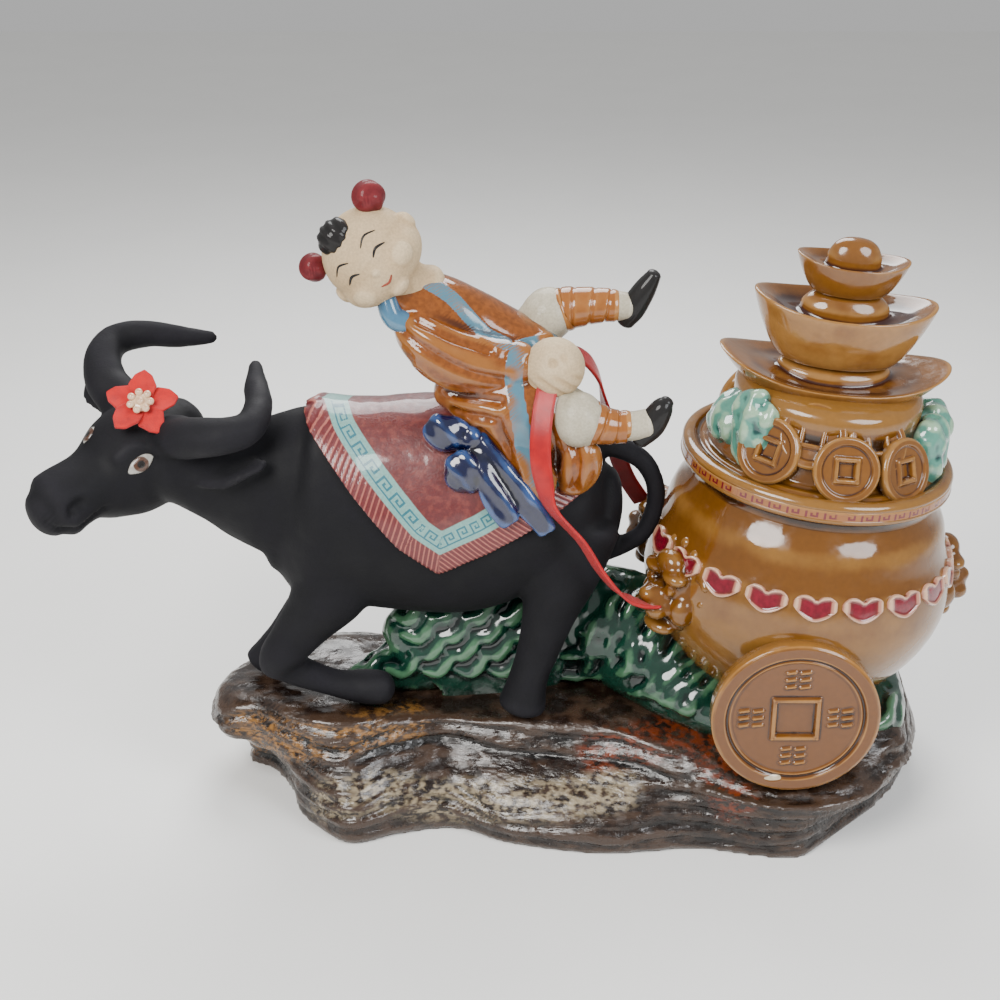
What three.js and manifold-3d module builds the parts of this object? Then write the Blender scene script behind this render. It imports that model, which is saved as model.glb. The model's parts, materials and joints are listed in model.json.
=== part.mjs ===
// Glazed pottery group: a boy lying along a water buffalo that pulls a treasure pot on coin wheels.
// Millimetres, +Z up, the buffalo walks towards -X and the show side faces -Y.
// Organic forms are lofts: short tables of stations, smoothed along their length.
// Each piece is closed, and a piece that beds against another is cut back by CUT_GAP all round.

import * as THREE from 'three';
import { mergeVertices } from 'three/addons/utils/BufferGeometryUtils.js';
import Module from 'manifold-3d';

const wasm = await Module();
wasm.setup();

// Driving dimensions
const CUT_GAP = 0.36;

const GROUND = 44;
const LEDGE = 35;

const CART_Y = 5;
const POT_LEAN = THREE.MathUtils.degToRad(5.8);
const POT_RIM = { x: 126, z: 149 };
const WHEEL = {
  x: 114, z: 68, radius: 32.6, thick: 8.5, ring: 27.1, raise: 1.4, hole: 7.6, frame: 1.7, inner: 59,
};

const HEAD = { x: -139.5, y: 0, z: 167, yaw: 40, pitch: 26, roll: -8 };
const BOY_HEAD = { x: -48, y: -6, z: 236.8, crown: 51 };

const RIBBON = { width: 8, thick: 1.2, rings: 30, sides: 8 };
const FLOWER = {
  petals: 5, length: 14.5, width: 11, thick: 1.1, stalk: 3.2, depth: 9, bead: 1.5, ring: 3.9, height: 3.4,
};

// Solids: geometry in, closed solids out

function toSolid(geometry) {
  const bare = geometry.clone();
  bare.deleteAttribute('normal');
  bare.deleteAttribute('uv');
  const merged = mergeVertices(bare, 1e-4);
  return new wasm.Manifold(new wasm.Mesh({
    numProp: 3,
    vertProperties: new Float32Array(merged.attributes.position.array),
    triVerts: new Uint32Array(merged.index.array),
  }));
}

function toGeometry(solid) {
  const mesh = solid.getMesh();
  const geometry = new THREE.BufferGeometry();
  geometry.setAttribute('position', new THREE.BufferAttribute(mesh.vertProperties, 3));
  geometry.setIndex(new THREE.BufferAttribute(mesh.triVerts, 1));
  geometry.computeVertexNormals();
  return geometry;
}

function join(geometries) {
  return geometries.map(toSolid).reduce((whole, piece) => whole.add(piece));
}

// Lofts: each station is [x, y, z, half width, half height]

function smoothed(rows, t) {
  const last = rows.length - 1;
  const i = Math.min(Math.floor(t), last - 1);
  const u = t - i;
  const before = rows[Math.max(i - 1, 0)];
  const after = rows[Math.min(i + 2, last)];
  return rows[i].map((a, k) => {
    const b = rows[i + 1][k];
    const slopeA = (b - before[k]) / 2;
    const slopeB = (after[k] - a) / 2;
    const cubic = 2 * (a - b) + slopeA + slopeB;
    const square = 3 * (b - a) - 2 * slopeA - slopeB;
    return a + u * (slopeA + u * (square + u * cubic));
  });
}

function ringFrames(rows, rings, across) {
  const at = [];
  for (let i = 0; i < rings; i += 1) {
    at.push(smoothed(rows, (i / (rings - 1)) * (rows.length - 1)));
  }
  const centres = at.map((r) => new THREE.Vector3(r[0], r[1], r[2]));
  return at.map((r, i) => {
    const along = centres[Math.min(i + 1, rings - 1)].clone().sub(centres[Math.max(i - 1, 0)]).normalize();
    const side = across.clone().addScaledVector(along, -across.dot(along)).normalize();
    const up = along.clone().cross(side);
    return { centre: centres[i], along, side, up, wide: r[3], tall: r[4] };
  });
}

function loft(rows, { rings = 10, sides = 10, across = [0, 1, 0], grow = 0, cap = 0.6, square = 1 } = {}) {
  const frames = ringFrames(rows, rings, new THREE.Vector3(...across));
  const first = frames[0];
  const end = frames[rings - 1];
  const capped = (frame, sign, part) => {
    const turn = (part * Math.PI) / 2;
    const reach = Math.min(frame.wide, frame.tall) * cap + grow;
    const size = Math.cos(turn);
    return {
      ...frame,
      centre: frame.centre.clone().addScaledVector(frame.along, sign * reach * Math.sin(turn)),
      wide: frame.wide * size,
      tall: frame.tall * size,
    };
  };
  const all = [capped(first, -1, 0.55), ...frames, capped(end, 1, 0.55)];
  const positions = [];
  const put = (v) => positions.push(v.x, v.y, v.z);
  const power = (v) => Math.sign(v) * Math.abs(v) ** square;
  for (const frame of all) {
    for (let k = 0; k < sides; k += 1) {
      const turn = (2 * Math.PI * k) / sides;
      const point = frame.centre.clone()
        .addScaledVector(frame.side, power(Math.cos(turn)) * (frame.wide + grow))
        .addScaledVector(frame.up, power(Math.sin(turn)) * (frame.tall + grow));
      put(point);
    }
  }
  put(capped(first, -1, 1).centre);
  put(capped(end, 1, 1).centre);
  const index = [];
  const south = all.length * sides;
  const north = south + 1;
  const top = (all.length - 1) * sides;
  for (let k = 0; k < sides; k += 1) {
    const next = (k + 1) % sides;
    for (let i = 0; i < all.length - 1; i += 1) {
      const a = i * sides + k;
      const b = i * sides + next;
      index.push(a, b, b + sides, a, b + sides, a + sides);
    }
    index.push(south, next, k, north, top + k, top + next);
  }
  const geometry = new THREE.BufferGeometry();
  geometry.setAttribute('position', new THREE.Float32BufferAttribute(positions, 3));
  geometry.setIndex(index);
  return geometry;
}

function ball(x, y, z, wide, deep, tall, { grow = 0, turn = 0, detail = 12 } = {}) {
  const geometry = new THREE.SphereGeometry(1, detail, Math.round(detail * 0.6));
  geometry.scale(wide + grow, deep + grow, tall + grow);
  geometry.rotateY(turn);
  geometry.translate(x, y, z);
  return geometry;
}

// Rock base: a wavy foot, an overhanging ledge and a gently rolling top

// Foot and ledge outlines seen from above, as matched pairs [foot x, foot y, ledge x, ledge y]
const ROCK_OUTLINE = [
  [-109, 12, -122, 2], [-98, 4, -116, -14], [-88, -12, -102, -17], [-82, -30, -83, -28],
  [-62, -49, -64, -33], [-42, -43, -47, -27], [-18, -39, -24, -20], [4, -49, 0, -26],
  [40, -56, 38, -31], [78, -53, 72, -46], [100, -57, 96, -62], [120, -59, 117, -67],
  [137, -44, 140, -63], [158, -22, 160, -42], [172, 0, 171, -18], [178, 28, 174, 20],
  [168, 58, 168, 58], [122, 76, 122, 80], [70, 62, 70, 64], [10, 54, 10, 54],
  [-45, 52, -50, 54], [-85, 42, -92, 43], [-106, 26, -117, 24],
];
const ROCK_LEVELS = [
  { z: 0, out: 0 }, { z: 9, out: -0.05 }, { z: 18, out: 0.25 }, { z: 25, out: 0.65 }, { z: 31, out: 1 },
];
const ROCK_INSETS = [0.05, 0.22, 0.6];
const ROCK_SIDES = 38;

function rockTop(x, y) {
  const roll = 1.6 * Math.sin(x / 17) + 1.2 * Math.sin(y / 11 + x / 29);
  const shelf = THREE.MathUtils.smoothstep(-y, 30, 50) * THREE.MathUtils.smoothstep(x, 55, 85);
  return THREE.MathUtils.lerp(GROUND + roll, LEDGE, shelf);
}

function rockGeometry() {
  const closed = [...ROCK_OUTLINE, ...ROCK_OUTLINE.slice(0, 3)];
  const outline = [];
  for (let k = 0; k < ROCK_SIDES; k += 1) {
    outline.push(smoothed([closed.at(-4), ...closed], 1 + (k / ROCK_SIDES) * ROCK_OUTLINE.length));
  }
  const positions = [];
  for (const level of ROCK_LEVELS) {
    outline.forEach(([fx, fy, lx, ly], k) => {
      const strata = 1 + 0.016 * Math.sin(level.z * 0.9 + k * 0.7) * (level.z > 0 ? 1 : 0);
      const x = THREE.MathUtils.lerp(fx, lx, level.out) * strata;
      const y = THREE.MathUtils.lerp(fy, ly, level.out) * strata;
      positions.push(x, y, level.z);
    });
  }
  for (const inset of ROCK_INSETS) {
    for (const [, , lx, ly] of outline) {
      const x = THREE.MathUtils.lerp(lx, THREE.MathUtils.clamp(lx, -85, 130), inset);
      const y = THREE.MathUtils.lerp(ly, 6, inset);
      const edge = inset === ROCK_INSETS[0] ? 5 : 0;
      positions.push(x, y, rockTop(x, y) - edge);
    }
  }
  const rows = ROCK_LEVELS.length + ROCK_INSETS.length;
  const index = [];
  for (let i = 0; i < rows - 1; i += 1) {
    for (let k = 0; k < ROCK_SIDES; k += 1) {
      const a = i * ROCK_SIDES + k;
      const b = i * ROCK_SIDES + ((k + 1) % ROCK_SIDES);
      index.push(a, b, b + ROCK_SIDES, a, b + ROCK_SIDES, a + ROCK_SIDES);
    }
  }
  const fan = (row, flip) => {
    const ring = [];
    for (let k = 0; k < ROCK_SIDES; k += 1) {
      const at = (row * ROCK_SIDES + k) * 3;
      ring.push(new THREE.Vector2(positions[at], positions[at + 1]));
    }
    for (const [a, b, c] of THREE.ShapeUtils.triangulateShape(ring, [])) {
      const [p, q, r] = [a, b, c].map((k) => row * ROCK_SIDES + k);
      index.push(...(flip ? [p, r, q] : [p, q, r]));
    }
  };
  fan(0, true);
  fan(rows - 1, false);
  const geometry = new THREE.BufferGeometry();
  geometry.setAttribute('position', new THREE.Float32BufferAttribute(positions, 3));
  geometry.setIndex(index);
  return geometry;
}

// Grass mounds that prop the belly, fill in behind the hind legs and carry the pot
const BELLY_GRASS = [
  [-62, 6, 46, 6, 4], [-49, 5.5, 49, 7, 8], [-39, 5, 53, 8.5, 14],
  [-31, 5, 59, 10.5, 25], [-14, 5, 62, 11, 27],
  [10, 5, 62, 11, 28], [24, 6, 60, 9, 26],
];
const CART_GRASS = [
  [26, 8, 60, 9, 22], [37, 8, 69, 14, 28], [50, 8, 69, 19, 26], [62, 6, 62, 26, 24],
  [78, 5, 51, 36, 19], [105, 5, 45, 45, 15], [140, 5, 43, 44, 14], [162, 5, 41, 32, 12],
];
// Blades lie over the mounds: each row repeats one blade `count` times at `step`
const BLADE_ROWS = [
  { from: [-36, -8, 48], to: [-12, -8, 60], step: [19, 0, 0], count: 3, width: 6.5 },
  { from: [-31, -7, 61], to: [-4, -6.5, 73], step: [20, 0, 1], count: 2, width: 6 },
  { from: [20, -14, 46], to: [40, -6, 78], step: [14, -6, -5], count: 3, width: 8 },
  { from: [60, -36, 39], to: [75, -24, 58], step: [10, -5, -3], count: 2, width: 7 },
  { from: [147, -37, 36], to: [151, -20, 46], step: [7, 15, -1], count: 3, width: 7 },
];

function bladeGeometries() {
  const blades = [];
  for (const { from, to, step, count, width } of BLADE_ROWS) {
    for (let k = 0; k < count; k += 1) {
      const foot = from.map((v, i) => v + k * step[i]);
      const tip = to.map((v, i) => v + k * step[i]);
      const middle = foot.map((v, i) => (v + tip[i]) / 2);
      const rows = [
        [...foot, width * 0.6, 3],
        [middle[0] + 2, middle[1] - 2, middle[2] - 2, width, 4],
        [...tip, width * 0.3, 2],
      ];
      blades.push(loft(rows, { rings: 3, sides: 4, across: [-0.5, 0, 1] }));
    }
  }
  return blades;
}

function baseGeometries() {
  return [
    rockGeometry(),
    loft(BELLY_GRASS, { rings: 7, sides: 9 }),
    loft(CART_GRASS, { rings: 8, sides: 11 }),
    ...bladeGeometries(),
  ];
}

// Water buffalo

const OX_BODY = [
  [-86, 0, 132, 18, 32], [-74, 0, 131, 29, 43.5], [-56, 0, 130.5, 32, 43], [-20, 0, 129.5, 33, 45.5],
  [6, 0, 131, 33, 40], [22, 0, 129, 31, 34.5], [33, 0, 127, 26, 29], [40, 0, 126, 15, 21],
];
const OX_NECK = [
  [-76, 0, 138, 24, 35], [-95, -1, 141, 19, 28], [-110, -3, 145.5, 16, 21.5], [-123, -5, 149.5, 14, 17],
  [-133, -8, 152, 13, 14],
];
// Head stations in the head's own directions: [towards the muzzle, height, half width, half depth]
const OX_HEAD = [
  [-12, -15, 13, 13], [-3, -14, 19, 19.5], [8, -13, 21, 22], [18, -11.5, 20, 21],
  [27, -9.5, 16, 17], [34, -7, 13.3, 13.5], [42, -5, 13.3, 13.4],
  [48, -4.6, 13.2, 13.8], [52, -4.4, 9.8, 10.4],
];
// Horn stations: [towards the muzzle, sideways, height, half height, half width]
const OX_HORN = [
  [3, 8, -5, 8, 9], [-1, 18, 0, 8, 9], [-3, 28, 3.5, 7.8, 8.4], [-9.7, 39, 4.5, 7.2, 7.6],
  [-20, 44.5, 3, 6.4, 6.6], [-30.6, 37.5, 1, 5.5, 5.6],
  [-38.5, 25.5, -1.2, 4.6, 4.6], [-46, 15, -2.8, 2.9, 2.9],
];
const NEAR_EAR = [
  [2, 17, -12, 4, 3], [-2, 28, -14, 8, 2.8], [-9, 40, -14.5, 9, 2.6], [-16, 52, -10, 3, 1.4],
];
const FAR_EAR = [
  [2, -16, -10, 4, 3], [-1, -25, -6, 8, 2.8], [-3, -34, -3, 10, 2.6], [-5, -42, -1, 4, 1.4],
];
const NEAR_FORELEG = [
  [-62, -14, 112, 14, 19], [-69, -15.5, 98, 12.5, 15.5],
  [-77, -16.5, 87, 10.5, 11.5], [-84, -16.5, 77, 9, 9.5],
  [-89.5, -16, 69, 8.5, 8.5], [-91, -15.5, 64, 7.5, 7.5],
];
const NEAR_SHANK = [
  [-92, -15, 67, 7.5, 7.5], [-80, -14, 60, 6.5, 6.5],
  [-67, -13, 54.5, 6, 5.8], [-55, -12.5, 52.5, 7.5, 7.5],
  [-49, -12.5, 52, 7.5, 7.5],
];
const FAR_FORELEG = [
  [-62, 13, 108, 11, 13], [-73, 15, 88, 9, 10], [-86, 16, 69, 7, 7.5], [-96, 16, 56, 6.5, 6.5],
  [-101, 16, 48, 7.5, 8],
];
const NEAR_HINDLEG = [
  [28, -14, 128, 15, 20], [24, -18, 108, 13, 15.5], [19.5, -20, 91, 9.5, 11], [15.5, -20, 75, 8, 8.6],
  [11.5, -20, 61, 7.5, 8], [9, -20, 49, 9, 10],
];
const FAR_HINDLEG = [
  [24, 12, 122, 13, 16], [29, 17, 104, 12, 13], [34, 19, 86, 9, 10], [34, 19, 68, 7.5, 8],
  [31, 19, 56, 7.5, 8], [30, 19, 49, 8.5, 9.5],
];
const OX_TAIL = [
  [30, 0, 157, 6, 6], [45, 0, 156, 4.8, 4.8], [57, 0, 149, 4, 4], [62, 0, 138, 3.9, 3.9],
  [61.5, 0, 127, 3.8, 3.8], [57.5, 0, 117.5, 3.8, 3.8], [49.5, 0, 112, 4, 4], [39, 0, 108, 4.4, 4.4],
];
// Saddle cloth: its outline seen from the side, as [x, z] corners of the draped square
const CLOTH_RAISE = 1.5;
const CLOTH_OUTLINE = [
  [-76, 176], [-58, 150], [-39, 127], [-24, 116], [-2, 127], [30, 146], [30, 190], [-76, 190],
];

function headFrame() {
  const { degToRad } = THREE.MathUtils;
  const yaw = degToRad(HEAD.yaw);
  const pitch = degToRad(HEAD.pitch);
  const muzzle = new THREE.Vector3(
    -Math.cos(pitch) * Math.cos(yaw),
    -Math.cos(pitch) * Math.sin(yaw),
    -Math.sin(pitch),
  );
  const side = new THREE.Vector3(Math.sin(yaw), -Math.cos(yaw), 0);
  side.applyAxisAngle(muzzle, degToRad(HEAD.roll));
  const up = muzzle.clone().cross(side);
  return { origin: new THREE.Vector3(HEAD.x, HEAD.y, HEAD.z), muzzle, side, up };
}

function onHead(forward, sideways, height) {
  const { origin, muzzle, side, up } = headFrame();
  return origin.clone()
    .addScaledVector(muzzle, forward)
    .addScaledVector(side, sideways)
    .addScaledVector(up, height)
    .toArray();
}

function headLoft(rows, options) {
  return loft(rows.map(([s, w, h, wide, tall]) => [...onHead(s, w, h), wide, tall]), options);
}

function oxBodyGeometry(grow) {
  return loft(OX_BODY, { rings: 11, sides: 14, grow });
}

function clothSolid(grow) {
  const reach = 45;
  const shape = new THREE.Shape(CLOTH_OUTLINE.map(([x, z]) => new THREE.Vector2(x, z)));
  const prism = new THREE.ExtrudeGeometry(shape, { depth: 2 * reach, bevelEnabled: false });
  prism.rotateX(Math.PI / 2);
  prism.translate(0, reach, 0);
  return toSolid(oxBodyGeometry(CLOTH_RAISE + grow)).intersect(toSolid(prism));
}

function oxSolid(grow = 0) {
  const { muzzle, side, up } = headFrame();
  const ears = { rings: 4, sides: 5, across: muzzle.toArray(), grow };
  const horns = { rings: 9, sides: 6, across: up.toArray(), grow, cap: 1 };
  const skull = OX_HEAD.map(([s, h, wide, tall]) => [s, 0, h, wide, tall]);
  return join([
    oxBodyGeometry(grow),
    loft(OX_NECK, { rings: 5, sides: 10, grow }),
    headLoft(skull, { rings: 9, sides: 10, across: side.toArray(), grow, cap: 0.7 }),
    headLoft(OX_HORN, horns),
    headLoft(OX_HORN.map(([s, w, ...rest]) => [s, -w, ...rest]), horns),
    headLoft(NEAR_EAR, ears),
    headLoft(FAR_EAR, ears),
    loft(NEAR_FORELEG, { rings: 5, sides: 8, grow }),
    loft(NEAR_SHANK, { rings: 5, sides: 7, grow, cap: 0.8 }),
    loft(FAR_FORELEG, { rings: 4, sides: 7, grow, cap: 0.5 }),
    loft(NEAR_HINDLEG, { rings: 5, sides: 8, grow, cap: 0.45 }),
    loft(FAR_HINDLEG, { rings: 5, sides: 7, grow, cap: 0.45 }),
    loft(OX_TAIL, { rings: 9, sides: 5, grow }),
  ]).add(clothSolid(grow));
}

// Boy rider

const BOY_TORSO = [
  [-42, -4, 223, 8.5, 8.5], [-34, -3, 219, 11.5, 11.5],
  [-22, -2, 213.5, 13.5, 13], [-6, -1, 203, 14.5, 14.5],
  [8, -1, 194, 14, 14.5], [20, -2, 187, 11, 13],
];
const COLLAR = [
  [-43, -9, 224, 5, 4], [-40, -13, 215, 5, 4.5], [-33, -13, 212, 5, 4.5], [-22, -14, 208, 3, 3],
];
const NEAR_SLEEVE = [
  [-34.5, -10, 212, 7, 7], [-28.5, -14, 206.5, 9, 10],
  [-18.5, -17, 200, 9.5, 12], [-7, -18, 197.5, 9, 11.5],
  [2, -18, 197.5, 8, 9.5], [9, -18, 197, 7, 8.5],
];
const FAR_SLEEVE = [
  [-30, 8, 214, 7, 7], [-18, 11, 207, 9, 10], [-4, 10, 203, 9, 10], [8, 2, 202, 7, 8], [16, -6, 200, 6, 6],
];
const ROBE_SKIRT = [
  [-20, -9, 185, 8, 8], [-8, -13, 182, 12, 12], [4, -16, 179, 14, 16], [16, -17, 174, 14, 19],
  [26, -16, 169, 12, 15], [34, -16, 167, 7, 10],
];
const ROBE_HEM = [
  [2, -20, 176, 6, 9], [9, -26, 165, 5, 9], [14.5, -31, 154, 3.4, 7], [17, -33, 149.5, 2.4, 4],
];
const NEAR_THIGH = [[8, -6, 186, 9, 9], [20, -17, 182, 9, 9], [28.5, -24, 178, 10, 10.4]];
const NEAR_SHIN = [
  [29, -25, 178, 10.2, 10.6], [36, -24.5, 176, 7.8, 8],
  [43, -24, 174.6, 6.5, 6.6], [51, -24, 175, 5.6, 5.6],
  [56, -24, 176, 5.6, 5.8],
];
const NEAR_SHOE = [
  [53, -24, 169, 3.4, 3.6], [57, -24, 175, 4.6, 5.4], [61, -24, 182, 4.2, 4.4], [63, -24, 185, 2.6, 2.6],
];
const FAR_THIGH = [[8, 4, 192, 9, 9], [13.5, 7, 201, 9.8, 9.8], [18, 8, 207.5, 10, 10.2]];
const FAR_SHIN = [
  [18, 8, 207.5, 10.2, 10.4], [27, 8, 210.5, 8, 8.2], [37, 8, 211.5, 6.7, 6.9], [45, 8, 211.5, 5.8, 6],
  [49.5, 8, 211, 5.4, 5.6],
];
const FAR_SHOE = [
  [48.5, 8, 205, 3.6, 3.6], [51, 8, 210, 4.6, 5], [55.5, 8, 218, 4.4, 4.4], [59, 8, 224, 3.2, 2.8],
];
// Rounded parts as [x, y, z, half length, half depth, half height, turn, facets]
const FISTS = [20.5, -20, 197, 11.5, 9.5, 11.8, 0, 10];
const ROBE_TAIL = [29, -25, 159, 9.5, 6.5, 12.5, 0.3, 8];
const SASH_BOW = [
  [-11, -25, 170, 4, 4, 4.5, 0, 6], [-20, -24, 172, 9.5, 4.5, 7.5, 0.3, 8],
  [-14, -30, 158, 7.6, 5, 9.2, -0.2, 8],
];
const SASH_TAILS = [
  [[-10, -24, 169, 3, 4], [-5, -32, 157, 2.6, 5], [1, -35.5, 145, 2.4, 5], [3.5, -36, 140, 2, 4]],
  [[-8, -24, 169, 3, 4], [2, -31, 159, 2.6, 4.5], [12, -34.5, 145, 2.4, 5], [18, -35, 136, 2, 3.5]],
];
// Parts of the head as [sideways, towards the crown, forwards, half width, half depth, half height, facets]
const HEAD_PARTS = [
  [0, 1, 0, 18.2, 15.5, 17.4, 12], [0, -5, 2, 19.2, 13.5, 12, 10], [-1, 15.5, 6, 7.4, 6.5, 6, 7],
  [17, 14.2, 0, 6.2, 6.2, 6.2, 7], [-17.6, 13.6, 0, 5.4, 5.4, 5.4, 7],
];

function onBoyHead(side, crown, front) {
  const tilt = THREE.MathUtils.degToRad(BOY_HEAD.crown);
  return [
    BOY_HEAD.x + side * Math.cos(tilt) - crown * Math.sin(tilt),
    BOY_HEAD.y - front,
    BOY_HEAD.z + side * Math.sin(tilt) + crown * Math.cos(tilt),
  ];
}

function blob([x, y, z, wide, deep, tall, turn, detail], grow) {
  return ball(x, y, z, wide, deep, tall, { grow, turn, detail });
}

function boyHeadGeometries(grow) {
  const turn = -THREE.MathUtils.degToRad(BOY_HEAD.crown);
  return HEAD_PARTS.map(([side, crown, front, wide, deep, tall, detail]) => (
    blob([...onBoyHead(side, crown, front), wide, deep, tall, turn, detail], grow)
  ));
}

function boySolid(grow = 0) {
  const limb = { rings: 5, sides: 7, grow };
  const shoe = { rings: 4, sides: 5, grow };
  return join([
    loft(BOY_TORSO, { rings: 6, sides: 9, grow }),
    ...boyHeadGeometries(grow),
    loft(COLLAR, shoe),
    loft(NEAR_SLEEVE, { rings: 6, sides: 7, grow }),
    loft(FAR_SLEEVE, limb),
    blob(FISTS, grow),
    loft(ROBE_SKIRT, { rings: 6, sides: 9, grow }),
    loft(ROBE_HEM, shoe),
    blob(ROBE_TAIL, grow),
    loft(NEAR_THIGH, { rings: 3, sides: 7, grow }),
    loft(NEAR_SHIN, limb),
    loft(NEAR_SHOE, shoe),
    loft(FAR_THIGH, { rings: 3, sides: 7, grow }),
    loft(FAR_SHIN, limb),
    loft(FAR_SHOE, shoe),
    ...SASH_BOW.map((part) => blob(part, grow)),
    ...SASH_TAILS.map((rows) => loft(rows, shoe)),
  ]);
}

// Treasure pot: thrown body with rim, lion masks as handles, and a heap of coins and ingots

// Profile from the foot up, as [radius, height above the middle of the rim]
const POT_PROFILE = [
  [0, -99], [28, -99], [39, -92], [49, -81.5], [57, -69], [61.2, -57], [61.6, -46], [60, -36], [57, -28],
  [54.5, -19], [49.5, -11], [49.5, -7], [53.4, -3], [53.4, 2.5],
  [50.5, 4.4], [44, 3.6], [37, 20], [34, 33], [0, 35],
];
const POT_SIDES = 26;
const INGOT_SIDES = 14;
const INGOTS = [
  { base: 27, tip: 44, rim: 0.6, dome: 43, long: 46, deep: 27, foot: 26, footDeep: 18 },
  { base: 42, tip: 68, rim: 0.84, dome: 70.5, long: 36, deep: 21, foot: 22.5, footDeep: 13.5 },
  { base: 69.5, tip: 84, rim: 0.86, dome: 91, long: 22, deep: 13.5, foot: 14, footDeep: 9 },
];
// Rings of an ingot from the foot up: how far it has flared, how high it is, and how far in from the edge
const INGOT_RINGS = [
  { flare: 0, lift: 0, inset: 1 }, { flare: 0.66, lift: 0.55, inset: 1 }, { flare: 1, lift: 1, inset: 1 },
  { flare: 1, lift: 1, inset: 0.88 }, { flare: 1, lift: 0.8, inset: 0.52 },
];
const DOME_SHOULDER = { inset: 0.34, drop: 0.1 };
const COIN = { radius: 12.8, thick: 4, sides: 10 };
// Coins lying round the heap as [bearing, distance from the axis, height, lean]
const COINS = [
  [-38, 42, 15, 20], [3, 43, 14, 20], [38, 43, 12, 20],
  [140, 42, 14, 20], [180, 42, 14, 20], [220, 42, 14, 20],
  [-17, 36, 23, 32], [23, 36, 22, 32],
];
const MASKS = [-62, -118, 97];
// Parts of a lion mask as [distance from the axis, height, half width, half depth, half height, facets]
const MASK_PARTS = [[58, -51, 15, 11, 19, 8], [68, -51, 7, 7.5, 8, 6], [65.5, -41, 11, 7, 5, 6]];
// Foliage beside the coins as [bearing, distance from the axis, height, half width, half depth, half height]
const LOBES = [
  [-78, 38, 16, 12, 9, 12], [-54, 38, 19, 11, 8, 17], [70, 42, 13, 10, 8, 15], [92, 42, 15, 12, 9, 13],
];
const LOBE_FACETS = 7;

function potPlace(geometry) {
  geometry.rotateY(POT_LEAN);
  geometry.translate(POT_RIM.x, CART_Y, POT_RIM.z);
  return geometry;
}

// Turns a shape that faces -Y to face the given bearing round the pot's axis, 0 being the show side
function aroundPot(geometry, bearing, out, rise) {
  geometry.translate(0, -out, rise);
  geometry.rotateZ(THREE.MathUtils.degToRad(bearing));
  return potPlace(geometry);
}

function potBodyGeometry(grow) {
  const points = POT_PROFILE.map(([r, h], i) => {
    const below = POT_PROFILE[Math.max(i - 1, 0)];
    const above = POT_PROFILE[Math.min(i + 1, POT_PROFILE.length - 1)];
    const run = new THREE.Vector2(above[0] - below[0], above[1] - below[1]).normalize();
    return new THREE.Vector2(r === 0 ? 0 : r + run.y * grow, h - run.x * grow);
  });
  const geometry = new THREE.LatheGeometry(points, POT_SIDES);
  geometry.rotateX(Math.PI / 2);
  return potPlace(geometry);
}

function ingotGeometry({ base, tip, rim, dome, long, deep, foot, footDeep }) {
  const { lerp } = THREE.MathUtils;
  const height = tip - base;
  const positions = [];
  for (const { flare, lift, inset } of INGOT_RINGS) {
    for (let k = 0; k < INGOT_SIDES; k += 1) {
      const turn = (2 * Math.PI * k) / INGOT_SIDES;
      const ends = Math.abs(Math.cos(turn)) ** 3;
      const x = lerp(foot, long, flare) * inset * Math.cos(turn);
      const y = lerp(footDeep, deep, flare) * inset * Math.sin(turn);
      positions.push(x, y, base + lift * height * lerp(rim, 1, ends * inset));
    }
  }
  for (let k = 0; k < INGOT_SIDES; k += 1) {
    const turn = (2 * Math.PI * k) / INGOT_SIDES;
    const { inset, drop } = DOME_SHOULDER;
    positions.push(long * inset * Math.cos(turn), deep * inset * Math.sin(turn), dome - height * drop);
  }
  positions.push(0, 0, base, 0, 0, dome);
  const index = [];
  const last = INGOT_RINGS.length;
  const below = (last + 1) * INGOT_SIDES;
  for (let k = 0; k < INGOT_SIDES; k += 1) {
    const next = (k + 1) % INGOT_SIDES;
    for (let i = 0; i < last; i += 1) {
      const a = i * INGOT_SIDES + k;
      const b = i * INGOT_SIDES + next;
      index.push(a, b, b + INGOT_SIDES, a, b + INGOT_SIDES, a + INGOT_SIDES);
    }
    index.push(below, next, k, below + 1, last * INGOT_SIDES + k, last * INGOT_SIDES + next);
  }
  const geometry = new THREE.BufferGeometry();
  geometry.setAttribute('position', new THREE.Float32BufferAttribute(positions, 3));
  geometry.setIndex(index);
  return potPlace(geometry);
}

function coinGeometry([bearing, out, rise, lean]) {
  const coin = new THREE.CylinderGeometry(COIN.radius, COIN.radius, COIN.thick, COIN.sides);
  coin.rotateX(-THREE.MathUtils.degToRad(lean));
  return aroundPot(coin, bearing, out, rise);
}

function maskGeometries(bearing, grow) {
  return MASK_PARTS.map(([out, rise, wide, deep, tall, detail]) => (
    aroundPot(ball(0, 0, 0, wide, deep, tall, { grow, detail }), bearing, out, rise)
  ));
}

function lobeGeometry([bearing, out, rise, wide, deep, tall]) {
  return aroundPot(ball(0, 0, 0, wide, deep, tall, { detail: LOBE_FACETS }), bearing, out, rise);
}

function potSolid(grow = 0) {
  return join([
    potBodyGeometry(grow),
    ...MASKS.flatMap((bearing) => maskGeometries(bearing, grow)),
    ...INGOTS.map(ingotGeometry),
    ...COINS.map(coinGeometry),
    ...LOBES.map(lobeGeometry),
  ]);
}

// Coin wheels: a disc with a raised outer rim, an inner ring and a raised square frame

function disc(radius, from, to, inner = 0) {
  const shape = new THREE.Shape().absarc(0, 0, radius, 0, Math.PI * 2);
  if (inner > 0) shape.holes.push(new THREE.Path().absarc(0, 0, inner, 0, Math.PI * 2, true));
  const options = { depth: to - from, bevelEnabled: false, curveSegments: 12 };
  const geometry = new THREE.ExtrudeGeometry(shape, options);
  geometry.translate(0, 0, from);
  return geometry;
}

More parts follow.
